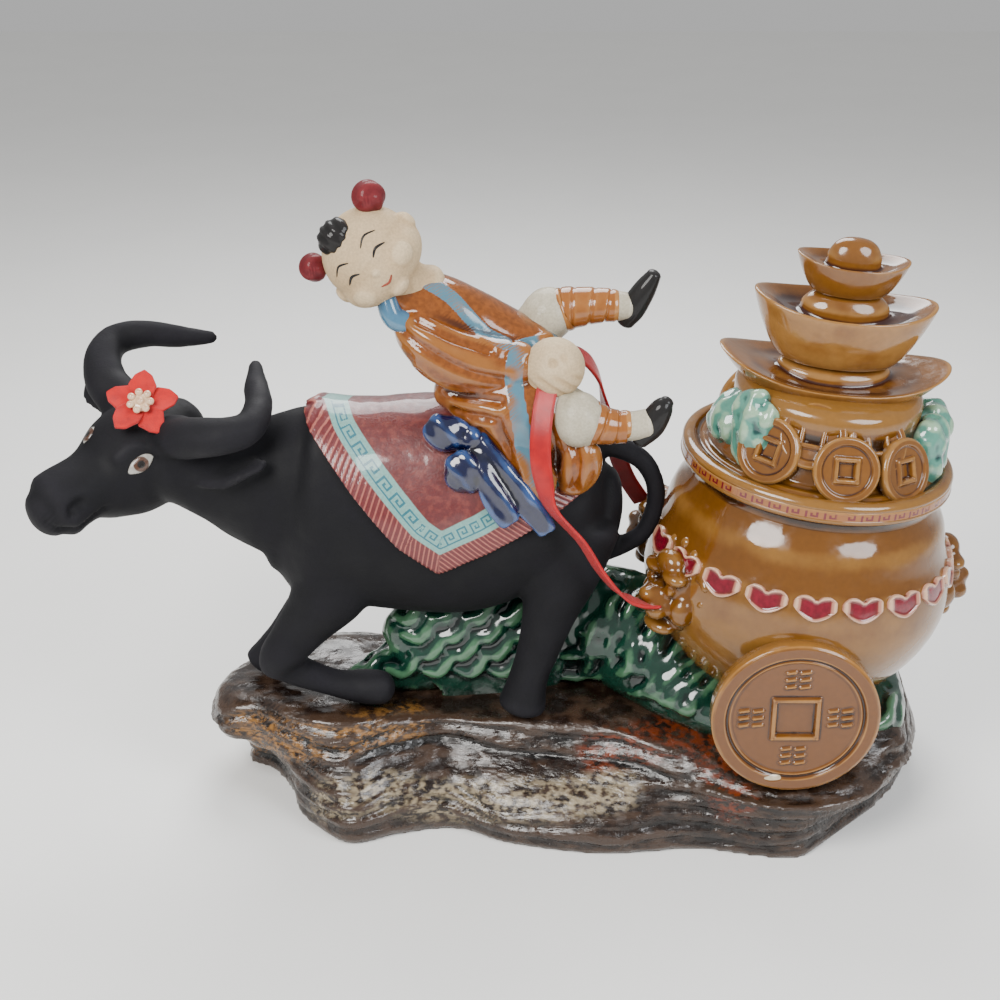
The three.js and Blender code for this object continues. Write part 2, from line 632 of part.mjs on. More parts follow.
// Solid of one wheel: its back on z = 0 and the coin face on top, before it is stood up
function wheelSolid(hand) {
  const { radius, thick, ring, raise, hole, frame } = WHEEL;
  const field = thick - raise;
  const border = new THREE.BoxGeometry(2 * (hole + frame), 2 * (hole + frame), 2 * raise);
  border.translate(0, 0, field);
  const well = new THREE.BoxGeometry(2 * hole, 2 * hole, 3 * raise);
  well.translate(0, 0, field + raise);
  const coin = join([disc(radius - 0.5 * raise, 0, field), disc(radius, raise, thick, ring), border]);
  return wheelPlace(coin.subtract(toSolid(well)), hand);
}

function wheelSpace(hand) {
  return wheelPlace(toSolid(disc(WHEEL.radius + CUT_GAP, -CUT_GAP, WHEEL.thick + CUT_GAP)), hand);
}

function wheelPlace(solid, hand) {
  const facing = hand > 0 ? 90 : -90;
  return solid.rotate([facing, 0, 0]).translate([WHEEL.x, CART_Y - hand * WHEEL.inner, WHEEL.z]);
}

// Satin ribbon: from the near mask, through the clasped hands and on to the far mask

// Stations of the ribbon: a point on its middle line, and how far it has twisted out of facing the show side
const RIBBON_ROUTE = [
  [61, -32, 101, -20], [53, -35, 105, -55], [46, -37, 110, -60],
  [38.5, -38, 120, -60], [31, -38.5, 133, -60],
  [19.5, -38.5, 147, -55], [16.5, -38, 158, -25], [15.2, -36.5, 167, -5], [15.3, -33.5, 177, 0],
  [17, -27.5, 188, 0], [20, -20, 196, 0], [24.5, -13, 199, 15], [29.5, -5, 196.5, 60], [34.5, 2, 190.5, 80],
  [38.5, 9, 182, 80], [41, 16, 172, 75], [44, 24, 157, 50], [47.5, 31, 141, 20], [53, 36, 125, 15],
  [60, 38, 113, 15],
];

function ribbonGeometry(grow = 0, sides = RIBBON.sides) {
  const { width, thick, rings } = RIBBON;
  const at = [];
  for (let i = 0; i < rings; i += 1) {
    at.push(smoothed(RIBBON_ROUTE, (i / (rings - 1)) * (RIBBON_ROUTE.length - 1)));
  }
  const centres = at.map(([x, y, z]) => new THREE.Vector3(x, y, z));
  const positions = [];
  at.forEach(([, , , twist], i) => {
    const before = centres[Math.max(i - 1, 0)];
    const after = centres[Math.min(i + 1, rings - 1)];
    const along = after.clone().sub(before).normalize();
    const side = new THREE.Vector3(1, 0, 0).addScaledVector(along, -along.x).normalize();
    side.applyAxisAngle(along, THREE.MathUtils.degToRad(twist));
    const face = along.clone().cross(side);
    for (let k = 0; k < sides; k += 1) {
      const turn = (2 * Math.PI * (k + 0.5)) / sides;
      const across = (width / 2 + grow) * Math.cos(turn) / Math.cos(Math.PI / sides);
      const through = (thick / 2 + grow) * THREE.MathUtils.clamp(Math.sin(turn) * sides, -1, 1);
      const point = centres[i].clone().addScaledVector(side, across).addScaledVector(face, through);
      positions.push(...point.toArray());
    }
  });
  const index = [];
  const top = (rings - 1) * sides;
  for (let k = 0; k < sides; k += 1) {
    const next = (k + 1) % sides;
    for (let i = 0; i < rings - 1; i += 1) {
      const a = i * sides + k;
      const b = i * sides + next;
      index.push(a, b, b + sides, a, b + sides, a + sides);
    }
    if (k > 0 && next > 0) index.push(0, next, k, top, top + k, top + next);
  }
  const geometry = new THREE.BufferGeometry();
  geometry.setAttribute('position', new THREE.Float32BufferAttribute(positions, 3));
  geometry.setIndex(index);
  return geometry;
}

// Fabric flower on the forehead, with a cluster of beads

// Where the flower sits and the way it faces, as [x, y, z]
const FLOWER_AT = onHead(0, 6, 11.5);
const FLOWER_FACING = [0.05, -0.62, 0.78];
// Half outline of a petal, as [share of its length, share of its half width]
const PETAL_OUTLINE = [[0, 0.4], [0.55, 1], [0.85, 0.6], [1, 0]];
const PETAL_LIFTS = [-0.12, -0.28];

function flowerPlace(geometry) {
  const facing = new THREE.Vector3(...FLOWER_FACING).normalize();
  geometry.applyQuaternion(new THREE.Quaternion().setFromUnitVectors(new THREE.Vector3(0, 0, 1), facing));
  geometry.translate(...FLOWER_AT);
  return geometry;
}

function pillar(radius, from, to) {
  const geometry = new THREE.CylinderGeometry(radius, radius, to - from, 10);
  geometry.rotateX(Math.PI / 2);
  geometry.translate(0, 0, (from + to) / 2);
  return flowerPlace(geometry);
}

function flowerGeometries() {
  const { petals, length, width, thick, stalk, depth } = FLOWER;
  const half = PETAL_OUTLINE.map(([s, w]) => new THREE.Vector2(s * length, (w * width) / 2));
  const mirrored = half.slice(0, -1).reverse().map(({ x, y }) => new THREE.Vector2(x, -y));
  const outline = new THREE.Shape([...half, ...mirrored]);
  const pieces = [pillar(stalk, thick - depth, 2 * thick)];
  for (let k = 0; k < petals; k += 1) {
    const petal = new THREE.ExtrudeGeometry(outline, { depth: thick, bevelEnabled: false });
    petal.rotateY(PETAL_LIFTS[k % 2]);
    petal.rotateZ((2 * Math.PI * k) / petals + 0.3);
    pieces.push(flowerPlace(petal));
  }
  return pieces;
}

function beadGeometries() {
  const { bead, ring, height } = FLOWER;
  const count = 7;
  const pieces = [pillar(ring + bead / 2, height - bead / 3, height + bead / 3)];
  for (let k = 0; k <= count; k += 1) {
    const out = k === count ? 0 : ring;
    const turn = (2 * Math.PI * k) / count;
    const berry = ball(0, 0, 0, bead, bead, bead, { detail: 6 });
    berry.translate(out * Math.cos(turn), out * Math.sin(turn), height + bead * 0.6);
    pieces.push(flowerPlace(berry));
  }
  return pieces;
}

// The group

function named(name, solid, color, roughness) {
  const material = new THREE.MeshStandardMaterial({ color, roughness, metalness: 0 });
  const mesh = new THREE.Mesh(toGeometry(solid), material);
  mesh.name = name;
  return mesh;
}

const pot = potSolid();
const ox = oxSolid();
const grownOx = oxSolid(CUT_GAP);
const wheelSpaces = wheelSpace(1).add(wheelSpace(-1));
const ribbonSpace = toSolid(ribbonGeometry(CUT_GAP, 4));
const rock = join(baseGeometries()).subtract(grownOx).subtract(potSolid(CUT_GAP)).subtract(wheelSpaces);

const pottery = [
  named('rock_base', rock, 0x3a2c22, 0.25),
  named('water_buffalo', ox, 0x1c1b1d, 0.85),
  named('boy_rider', boySolid().subtract(grownOx).subtract(ribbonSpace), 0xa8632c, 0.3),
  named('treasure_pot', pot.subtract(ribbonSpace).subtract(wheelSpaces), 0x8a5a24, 0.2),
  named('coin_wheel_near', wheelSolid(1), 0x9a6226, 0.25),
  named('coin_wheel_far', wheelSolid(-1), 0x9a6226, 0.25),
];
const trimmings = [
  named('rein_ribbon', toSolid(ribbonGeometry()), 0xb01820, 0.4),
  named('flower_petals', join(flowerGeometries()).subtract(grownOx), 0xc8201c, 0.8),
  named('flower_beads', join(beadGeometries()), 0xd9b48a, 0.3),
];

// The group stands with the middle of its footprint on the origin; the free ribbon isn't counted
const footprint = new THREE.Box3();
for (const mesh of [...pottery, ...trimmings.slice(1)]) footprint.expandByObject(mesh);
const middle = footprint.getCenter(new THREE.Vector3());
for (const mesh of [...pottery, ...trimmings]) {
  mesh.geometry.translate(-middle.x, -middle.y, -footprint.min.z);
}

const group = new THREE.Group();
group.add(...pottery, ...trimmings);

export default group;
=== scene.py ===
"""Glazed pottery group: a boy lying along a water buffalo that draws a treasure pot on coin wheels.

Shapes are worked out in the design frame, in millimetres, where the buffalo walks towards -X, the show side
faces -Y and the rock base stands on z = 0. Each mesh is moved to the row frame, in metres, when it is made.
"""
from __future__ import annotations

import json
import logging
import math
from dataclasses import dataclass, field
from enum import Enum
from typing import Callable, Sequence

import bpy
import numpy as np
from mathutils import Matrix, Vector
from mathutils.bvhtree import BVHTree

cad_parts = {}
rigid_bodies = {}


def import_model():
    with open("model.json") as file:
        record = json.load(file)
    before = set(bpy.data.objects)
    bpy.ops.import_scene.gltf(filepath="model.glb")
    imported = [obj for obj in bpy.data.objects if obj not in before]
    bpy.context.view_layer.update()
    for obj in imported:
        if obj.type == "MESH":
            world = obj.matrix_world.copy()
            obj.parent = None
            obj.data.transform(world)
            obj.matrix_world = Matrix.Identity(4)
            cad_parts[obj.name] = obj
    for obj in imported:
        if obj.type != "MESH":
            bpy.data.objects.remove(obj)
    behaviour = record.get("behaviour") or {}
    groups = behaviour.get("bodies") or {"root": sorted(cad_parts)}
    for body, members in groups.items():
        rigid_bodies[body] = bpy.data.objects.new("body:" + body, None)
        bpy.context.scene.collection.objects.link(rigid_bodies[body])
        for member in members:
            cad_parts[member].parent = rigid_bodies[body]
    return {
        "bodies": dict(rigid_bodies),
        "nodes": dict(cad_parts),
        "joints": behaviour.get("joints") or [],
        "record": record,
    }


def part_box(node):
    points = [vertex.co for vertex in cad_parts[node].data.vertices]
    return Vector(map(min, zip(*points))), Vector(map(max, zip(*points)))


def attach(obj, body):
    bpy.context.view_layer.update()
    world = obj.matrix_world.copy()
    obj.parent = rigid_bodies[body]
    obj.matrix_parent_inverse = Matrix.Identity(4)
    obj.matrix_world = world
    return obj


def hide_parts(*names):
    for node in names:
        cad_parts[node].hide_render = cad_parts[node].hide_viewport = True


Array = np.ndarray
Rows = Sequence[Sequence[float]]
Pixels = Sequence[tuple[float, float]]
Colour = tuple[int, int, int]

LOG = logging.getLogger("pottery_group")
MM = 0.001

CART_Y = 5.0


class Node(str, Enum):
    """The solids that the pieces stand for."""

    ROCK = "rock_base"
    BUFFALO = "water_buffalo"
    BOY = "boy_rider"
    POT = "treasure_pot"
    NEAR_WHEEL = "coin_wheel_near"
    FAR_WHEEL = "coin_wheel_far"
    RIBBON = "rein_ribbon"
    PETALS = "flower_petals"
    BEADS = "flower_beads"


class Slot(str, Enum):
    """The record's material slots."""

    ROCK = "rock_glaze"
    BUFFALO = "buffalo_clay"
    FIGURE = "figure_glaze"
    POT = "pot_glaze"
    WHEEL = "wheel_glaze"
    SATIN = "satin"
    FELT = "felt"
    BEADS = "beads"


# Small numeric tools


def unit(vectors: Array) -> Array:
    """Scale each vector to length one."""
    return vectors / np.maximum(np.linalg.norm(vectors, axis=-1, keepdims=True), 1e-9)


def smoothstep(values: Array, low: float, high: float) -> Array:
    """Rise smoothly from 0 at low to 1 at high: 3t squared less 2t cubed."""
    t = np.clip((values - low) / (high - low), 0.0, 1.0)
    return t * t * (3.0 - 2.0 * t)


def bell(away: Array, width: float) -> Array:
    """Fall from 1 at no distance to nearly 0 past twice the width, as a bell curve."""
    return np.exp(-((away / width) ** 2))


def sample(rows: Rows | Array, count: int, closed: bool = False) -> Array:
    """Read a smooth curve through every row, each row keeping all its columns.

    The curve is cubic between two rows, and its slope at a row is half the step between that row's neighbours.

    Args:
        rows: Stations that the curve passes through.
        count: How many points to return.
        closed: Whether the last row joins the first.

    Returns:
        An array of count rows.
    """
    table = np.asarray(rows, dtype=float)
    last = len(table) - 1
    if closed:
        t = np.arange(count) / count * len(table)
        i = t.astype(int)
        before, start, end, after = (table[(i + k) % len(table)] for k in (-1, 0, 1, 2))
    else:
        t = np.linspace(0.0, last, count)
        i = np.minimum(t.astype(int), last - 1)
        before, start, end, after = (table[np.clip(i + k, 0, last)] for k in (-1, 0, 1, 2))
    u = (t - i)[:, None]
    slope_start = (end - before) / 2.0
    slope_end = (after - start) / 2.0
    square = 3.0 * (end - start) - 2.0 * slope_start - slope_end
    cubic = 2.0 * (start - end) + slope_start + slope_end
    return start + u * (slope_start + u * (square + u * cubic))


def noise(points: Array, size: float | Sequence[float], seed: int = 0, octaves: int = 1) -> Array:
    """Value noise between -1 and 1: a number at each lattice corner, blended smoothly, halved per octave.

    Args:
        points: Places to read, in millimetres.
        size: Lattice step, one number or one for each axis.
        seed: Picks another pattern.
        octaves: How many layers, each half the size and half as strong as the one before.

    Returns:
        One value for each point.
    """
    total = np.zeros(len(points))
    reach = 0.0
    for octave in range(octaves):
        scaled = points / (np.asarray(size, dtype=float) / 2.0**octave)
        cell = np.floor(scaled)
        blend = scaled - cell
        blend = blend * blend * (3.0 - 2.0 * blend)
        layer = np.zeros(len(points))
        for corner in np.ndindex(2, 2, 2):
            at = cell + corner
            spin = np.sin(at @ np.array([12.99, 78.23, 37.72]) + seed * 4.1 + octave) * 43758.55
            share = np.prod(np.where(np.array(corner) == 1, blend, 1.0 - blend), axis=1)
            layer += share * (2.0 * (spin - np.floor(spin)) - 1.0)
        total += layer / 2.0**octave
        reach += 1.0 / 2.0**octave
    return total / reach


def path_distance(points: Array, path: Array) -> tuple[Array, Array]:
    """Measure how far each point is from a path of straight pieces, and how far along its nearest spot lies.

    Args:
        points: Points to measure.
        path: Corners of the path.

    Returns:
        The distance, and the share of the path from 0 to 1 at the nearest spot.
    """
    path = np.asarray(path, dtype=float)
    best = np.full(len(points), np.inf)
    share = np.zeros(len(points))
    pieces = len(path) - 1
    for k in range(pieces):
        step = path[k + 1] - path[k]
        along = np.clip((points - path[k]) @ step / max(step @ step, 1e-9), 0.0, 1.0)
        away = np.linalg.norm(points - path[k] - along[:, None] * step, axis=1)
        closer = away < best
        best = np.where(closer, away, best)
        share = np.where(closer, (k + along) / pieces, share)
    return best, share


# Skins: points and faces of a surface before it becomes a mesh


@dataclass
class Skin:
    """A surface in the design frame: points, four-sided faces, and flat caps that close its ends."""

    points: Array
    quads: Array
    caps: list[list[int]] = field(default_factory=list)
    tags: dict[str, Array] = field(default_factory=dict)

    def normals(self) -> Array:
        """Work out each point's outward direction: the sum of its faces' diagonal cross products."""
        a, b, c, d = (self.points[self.quads[:, k]] for k in range(4))
        faces = np.cross(c - a, d - b)
        total = np.zeros_like(self.points)
        for k in range(4):
            for axis in range(3):
                total[:, axis] += np.bincount(self.quads[:, k], faces[:, axis], len(self.points))
        return unit(total)

    def averaged(self, values: Array, rounds: int) -> Array:
        """Replace each value by the mean of its neighbours' values, as many times as asked."""
        turns = [self.quads[:, [k, (k + 1) % 4]] for k in range(4)]
        ends = np.concatenate(turns + [pair[:, ::-1] for pair in turns])
        count = np.maximum(np.bincount(ends[:, 0], minlength=len(values)), 1)
        for _ in range(rounds):
            values = np.bincount(ends[:, 0], values[ends[:, 1]], len(values)) / count
        return values

    def glazed(self, rounds: int = 6) -> Skin:
        """Tag each point with how hollow the surface is there, from -1 on a ridge to 1 in a crease.

        A point's hollowness is how far the mean of its neighbours lies out along its normal, smoothed and scaled.
        """
        normals = self.normals()
        mean = np.stack([self.averaged(self.points[:, axis], 1) for axis in range(3)], axis=1)
        bend = self.averaged(((mean - self.points) * normals).sum(axis=1), rounds)
        self.tags["hollow"] = np.clip(bend / max(float(np.percentile(np.abs(bend), 92)), 1e-6), -1.0, 1.0)
        return self

    def lifted(self, heights: Array) -> Skin:
        """Move each point out along its normal."""
        self.points = self.points + self.normals() * heights[:, None]
        return self

    def mirrored(self, y: float) -> Skin:
        """Return this skin's reflection in the upright plane at that y, with its faces turned outwards again."""
        flip = self.points * np.array([1.0, -1.0, 1.0]) + np.array([0.0, 2.0 * y, 0.0])
        return Skin(flip, self.quads[:, ::-1], [cap[::-1] for cap in self.caps], dict(self.tags))

    def tree(self) -> BVHTree:
        """Build the search tree that finds spots on this skin."""
        return BVHTree.FromPolygons(self.points.tolist(), self.quads.tolist())


def grid(rows: int, columns: int, ring: bool = False) -> Array:
    """List the faces of a grid of points, row by row.

    Args:
        rows: Rows of points.
        columns: Points in a row.
        ring: Whether each row closes on itself.

    Returns:
        Four point numbers for each face.
    """
    i, k = np.meshgrid(np.arange(rows - 1), np.arange(columns if ring else columns - 1), indexing="ij")
    after = (k + 1) % columns
    corners = [i * columns + k, i * columns + after, (i + 1) * columns + after, (i + 1) * columns + k]
    return np.stack(corners, axis=-1).reshape(-1, 4)


def stack(rings: Array, tags: dict[str, Array] | None = None) -> Skin:
    """Close a stack of rings, given as an array of rings by points by 3, with a flat cap at each end."""
    count, sides = rings.shape[:2]
    caps = [list(range(sides))[::-1], list(range((count - 1) * sides, count * sides))]
    return Skin(rings.reshape(-1, 3), grid(count, sides, ring=True), caps, tags or {})


def joined(skins: Sequence[Skin]) -> Skin:
    """Put several skins in one, untouched. Tags are kept where every skin has them."""
    starts = np.cumsum([0] + [len(s.points) for s in skins])
    names = set(skins[0].tags).intersection(*(s.tags for s in skins))
    return Skin(
        np.concatenate([s.points for s in skins]),
        np.concatenate([s.quads + at for s, at in zip(skins, starts)]),
        [[v + int(at) for v in cap] for s, at in zip(skins, starts) for cap in s.caps],
        {name: np.concatenate([s.tags[name] for s in skins]) for name in names},
    )


def frames(centres: Array, across: Sequence[float]) -> tuple[Array, Array, Array]:
    """Set up directions along, beside and above a path, with beside kept as near to across as it can be."""
    along = unit(np.gradient(centres, axis=0))
    lead = np.asarray(across, dtype=float)
    side = unit(lead - (along @ lead)[:, None] * along)
    return along, side, np.cross(along, side)


def loft(
    rows: Rows | Array,
    rings: int = 44,
    sides: int = 28,
    across: Sequence[float] = (0, 1, 0),
    cap: float = 0.6,
) -> Skin:
    """Carry an ellipse along a smooth path and round its ends off.

    A point is centre + side * half width * cos(turn) + up * half height * sin(turn). At each end the rings
    shrink by the cosine, and step on by the sine, of a quarter turn.

    Args:
        rows: Stations as x, y, z, half width, half height.
        rings: Rings between the ends.
        sides: Points round a ring.
        across: Direction that the half width lies in.
        cap: How far the ends bulge, as a share of the smaller half size.

    Returns:
        A closed skin. Its "run" tag goes from 0 at the first station to 1 at the last.
    """
    at = sample(rows, rings)
    along, side, up = frames(at[:, :3], across)
    quarter = np.radians([84.0, 66.0, 45.0, 22.0])
    reach = at[[0, -1], 3:5].min(axis=1) * cap
    pick = np.array([0] * 4 + list(range(rings)) + [rings - 1] * 4)
    push = np.concatenate([-reach[0] * np.sin(quarter), np.zeros(rings), reach[1] * np.sin(quarter[::-1])])
    size = np.concatenate([np.cos(quarter), np.ones(rings), np.cos(quarter[::-1])])
    turn = np.linspace(0.0, 2.0 * math.pi, sides, endpoint=False)
    centre = at[pick, :3] + along[pick] * push[:, None]
    wide = (at[pick, 3] * size)[:, None, None] * side[pick][:, None] * np.cos(turn)[None, :, None]
    tall = (at[pick, 4] * size)[:, None, None] * up[pick][:, None] * np.sin(turn)[None, :, None]
    run = np.repeat(pick / (rings - 1), sides)
    return stack(centre[:, None] + wide + tall, {"run": run})


def ball(centre: Sequence[float], sizes: Sequence[float], turn: float = 0.0, detail: int = 24) -> Skin:
    """Make an ellipsoid: sizes times the sines and cosines of two angles, turned about Y."""
    lift = np.linspace(-math.pi / 2 + 0.05, math.pi / 2 - 0.05, detail)[:, None]
    turns = np.linspace(0.0, 2.0 * math.pi, 2 * detail, endpoint=False)[None]
    rings = np.stack(
        [np.cos(lift) * np.cos(turns), np.cos(lift) * np.sin(turns), np.sin(lift) + 0.0 * turns],
        axis=-1,
    )
    c, s = math.cos(turn), math.sin(turn)
    rings = rings * np.asarray(sizes, dtype=float) @ np.array([[c, 0.0, -s], [0.0, 1.0, 0.0], [s, 0.0, c]])
    return stack(rings + np.asarray(centre, dtype=float))


def nearest(tree: BVHTree, points: Array) -> tuple[Array, Array]:
    """Find each point's nearest spot on a surface, and the normal there."""
    found = [tree.find_nearest(Vector(p)) for p in points]
    return np.array([f[0] for f in found]), np.array([f[1] for f in found])


def laid(tree: BVHTree, path: Array, width: float | Array, height: float, sink: float = 0.3, lanes: int = 9) -> Skin:
    """Lay a raised band on a surface along a path.

    Across the band the height follows a half ellipse, and each lane is drawn to the surface's nearest spot.

    Args:
        tree: The surface's search tree.
        path: Points near the surface.
        width: Half width, one number or one for each point of the path.
        height: How far the band's middle stands out.
        sink: How far its edges go below the surface.
        lanes: Points across the band.

    Returns:
        An open band with a "lane" tag from -1 to 1 and a "run" tag from 0 to 1.
    """
    spots, normal = nearest(tree, path)
    side = unit(np.cross(normal, unit(np.gradient(spots, axis=0))))
    lane = np.sin(np.linspace(-math.pi / 2, math.pi / 2, lanes))
    reach = spots[:, None] + side[:, None] * lane[None, :, None] * np.broadcast_to(width, len(path))[:, None, None]
    ground, facing = nearest(tree, reach.reshape(-1, 3))
    rise = (height + sink) * np.sqrt(np.maximum(1.0 - lane**2, 0.0)) - sink
    points = ground + facing * np.tile(rise, len(path))[:, None]
    tags = {"lane": np.tile(lane, len(path)), "run": np.repeat(np.linspace(0.0, 1.0, len(path)), lanes)}
    return Skin(points, grid(len(path), lanes)[:, ::-1], [], tags)


def patch(
    tree: BVHTree,
    spot: Array,
    right: Array,
    up: Array,
    outline: Callable[[Array], tuple[Array, Array]],
    wide: float,
    profile: Callable[[Array], Array],
    detail: int = 22,
) -> Skin:
    """Lay a shaped patch on a surface.

    Args:
        tree: The surface's search tree.
        spot: Its middle.
        right: Direction of its width.
        up: Direction of its height.
        outline: Takes the share of the half width, and gives the lower and the upper edge in millimetres.
        wide: Its half width.
        profile: Takes 0 in the middle to 1 on the edge, and gives the height above the surface.
        detail: Points along each side.

    Returns:
        An open skin with tags "east", "north" (millimetres from the middle) and "rim" (0 to 1).
    """
    s = np.sin(np.linspace(-math.pi / 2, math.pi / 2, detail))[:, None]
    v = np.sin(np.linspace(-math.pi / 2, math.pi / 2, detail))[None]
    low, high = outline(s)
    east = wide * s + 0.0 * v
    north = (low + high) / 2.0 + v * (high - low) / 2.0
    rim = np.maximum(np.abs(s) + 0.0 * v, np.abs(v) + 0.0 * s).ravel()
    flat = spot + east[..., None] * right + north[..., None] * up
    ground, facing = nearest(tree, flat.reshape(-1, 3))
    points = ground + facing * profile(rim)[:, None]
    skin = Skin(points, grid(detail, detail), [], {"east": east.ravel(), "north": north.ravel(), "rim": rim})
    if (skin.normals() * facing).sum() < 0.0:
        skin.quads = skin.quads[:, ::-1]
    return skin


# The frame, the photograph's viewpoint, and the maker of meshes


@dataclass(frozen=True)
class Place:
    """The move from the design frame, in millimetres, to the row frame, in metres."""

    shift: tuple[float, float, float]

    @classmethod
    def from_frame(cls) -> Place:
        """Read the move off the near coin wheel, whose design place is known."""
        low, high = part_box(Node.NEAR_WHEEL.value)
        wheel = CoinWheel(Node.NEAR_WHEEL)
        return cls((
            low[0] / MM - (wheel.x - wheel.radius),
            high[1] / MM - (CART_Y - wheel.inner),
            low[2] / MM - (wheel.z - wheel.radius),
        ))

    def row(self, points: Array) -> Array:
        """Move points from the design frame to the row frame."""
        return (points + np.asarray(self.shift)) * MM


@dataclass(frozen=True)
class Viewpoint:
    """Where the photograph was taken from, in the design frame, as far as its ellipses tell."""

    elevation: float = 26.0
    distance: float = 750.0
    target: tuple[float, float, float] = (0.0, 0.0, 132.0)
    mm_per_pixel: float = 0.4
    middle: float = 500.0
    sensor: float = 36.0

    def axes(self) -> tuple[Array, Array, Array]:
        """Return the directions right, up and forwards."""
        c, s = math.cos(math.radians(self.elevation)), math.sin(math.radians(self.elevation))
        return np.array([1.0, 0.0, 0.0]), np.array([0.0, s, c]), np.array([0.0, c, -s])

    def eye(self) -> Array:
        """Return the camera's place."""
        return np.array(self.target) - self.distance * self.axes()[2]

    def ray(self, px: float, py: float) -> Array:
        """Return the direction through a pixel: forwards, plus its distance across and up from the middle."""
        right, up, forwards = self.axes()
        across = (px - self.middle) * self.mm_per_pixel
        rise = (self.middle - py) * self.mm_per_pixel
        return unit(forwards * self.distance + right * across + up * rise)

    def pixels(self, points: Array) -> Array:
        """Tell at which pixels points show."""
        right, up, forwards = self.axes()
        away = points - self.eye()
        scale = self.distance / (away @ forwards) / self.mm_per_pixel
        return np.stack([self.middle + away @ right * scale, self.middle - away @ up * scale], axis=1)

    def spots(self, tree: BVHTree, pixels: Pixels) -> tuple[Array, Array]:
        """Find the spots of a surface that show at some pixels, and the surface's normals there."""
        eye = Vector(self.eye())
        hits = [tree.ray_cast(eye, Vector(self.ray(px, py))) for px, py in pixels]
        found = [h for h in hits if h[0] is not None]
        return np.array([h[0] for h in found]), np.array([h[1] for h in found])

    def shoot(self, place: Place) -> None:
        """Set up the camera."""
        data = bpy.data.cameras.new("camera")
        data.sensor_width = self.sensor
        data.lens = self.sensor * self.distance / (2.0 * self.middle * self.mm_per_pixel)
        camera = bpy.data.objects.new("camera", data)
        camera.location = place.row(self.eye())
        camera.rotation_euler = (math.radians(90.0 - self.elevation), 0.0, 0.0)
        bpy.context.scene.collection.objects.link(camera)
        bpy.context.scene.camera = camera


@dataclass
class Studio:
    """Makes the pieces, and knows the frame's place and the photograph's viewpoint."""

    place: Place
    view: Viewpoint
    finishes: dict[str, bpy.types.Material] = field(default_factory=dict)

    def finish(self, finish: Finish) -> bpy.types.Material:
        """Return a finish's material, made once."""
        if finish.name not in self.finishes:
            self.finishes[finish.name] = finish.material()
        return self.finishes[finish.name]

    def mesh(self, name: str, skin: Skin) -> bpy.types.Mesh:
        """Turn a skin into a smooth mesh in the row frame, with its tags as attributes."""
        mesh = bpy.data.meshes.new(name)
        mesh.from_pydata(self.place.row(skin.points).tolist(), [], skin.quads.tolist() + skin.caps)
        for tag, values in skin.tags.items():
            layer = mesh.attributes.new(tag, "FLOAT", "POINT")
            layer.data.foreach_set("value", np.asarray(values, dtype=np.float32))
        mesh.polygons.foreach_set("use_smooth", [True] * len(mesh.polygons))
        mesh.update()
        return mesh

    def piece(self, name: str, skin: Skin, finish: Finish, node: Node, slot: Slot) -> bpy.types.Object:
        """Add a finished piece to the scene.

        Args:
            name: The piece's name.
            skin: Its surface.
            finish: Its finish.
            node: The solid that it stands for.
            slot: The record's material slot for its finish; not used.

        Returns:
            The new object, riding on the group's one body.
        """
        obj = bpy.data.objects.new(name, self.mesh(name, skin))
        bpy.context.scene.collection.objects.link(obj)
        obj.data.materials.append(self.finish(finish))
        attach(obj, "root")
        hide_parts(node.value)
        LOG.info("%s: %d faces", name, len(obj.data.polygons))
        return obj

    def fused(self, skins: Sequence[Skin], voxel: float, soften: int) -> Skin:
        """Melt closed skins into one even skin and soften it.

        Args:
            skins: Closed skins that overlap.
            voxel: Size of the new faces, in millimetres.
            soften: Rounds of smoothing.

        Returns:
            One skin of nearly square faces.
        """
        source = joined([Skin(s.points, s.quads, s.caps) for s in skins])
        mesh = bpy.data.meshes.new("melt")
        mesh.from_pydata((source.points * MM).tolist(), [], source.quads.tolist() + source.caps)
        obj = bpy.data.objects.new("melt", mesh)
        bpy.context.scene.collection.objects.link(obj)
        remesh = obj.modifiers.new("even", "REMESH")
        remesh.mode = "VOXEL"
        remesh.voxel_size = voxel * MM
        smooth = obj.modifiers.new("soft", "SMOOTH")
        smooth.factor = 0.5
        smooth.iterations = soften
        made = bpy.data.meshes.new_from_object(obj.evaluated_get(bpy.context.evaluated_depsgraph_get()))
        points = np.empty(len(made.vertices) * 3)
        made.vertices.foreach_get("co", points)
        corners = np.empty(len(made.loops), dtype=np.int32)
        made.loops.foreach_get("vertex_index", corners)
        bpy.data.objects.remove(obj)
        for old in (mesh, made):
            bpy.data.meshes.remove(old)
        return Skin(points.reshape(-1, 3) / MM, corners.reshape(-1, 4))


# Finishes


def srgb(colour: Colour) -> tuple[float, float, float, float]:
    """Turn a screen colour into the linear colour that shaders take."""
    parts = [c / 255.0 for c in colour]
    return (*[p / 12.92 if p <= 0.04045 else ((p + 0.055) / 1.055) ** 2.4 for p in parts], 1.0)


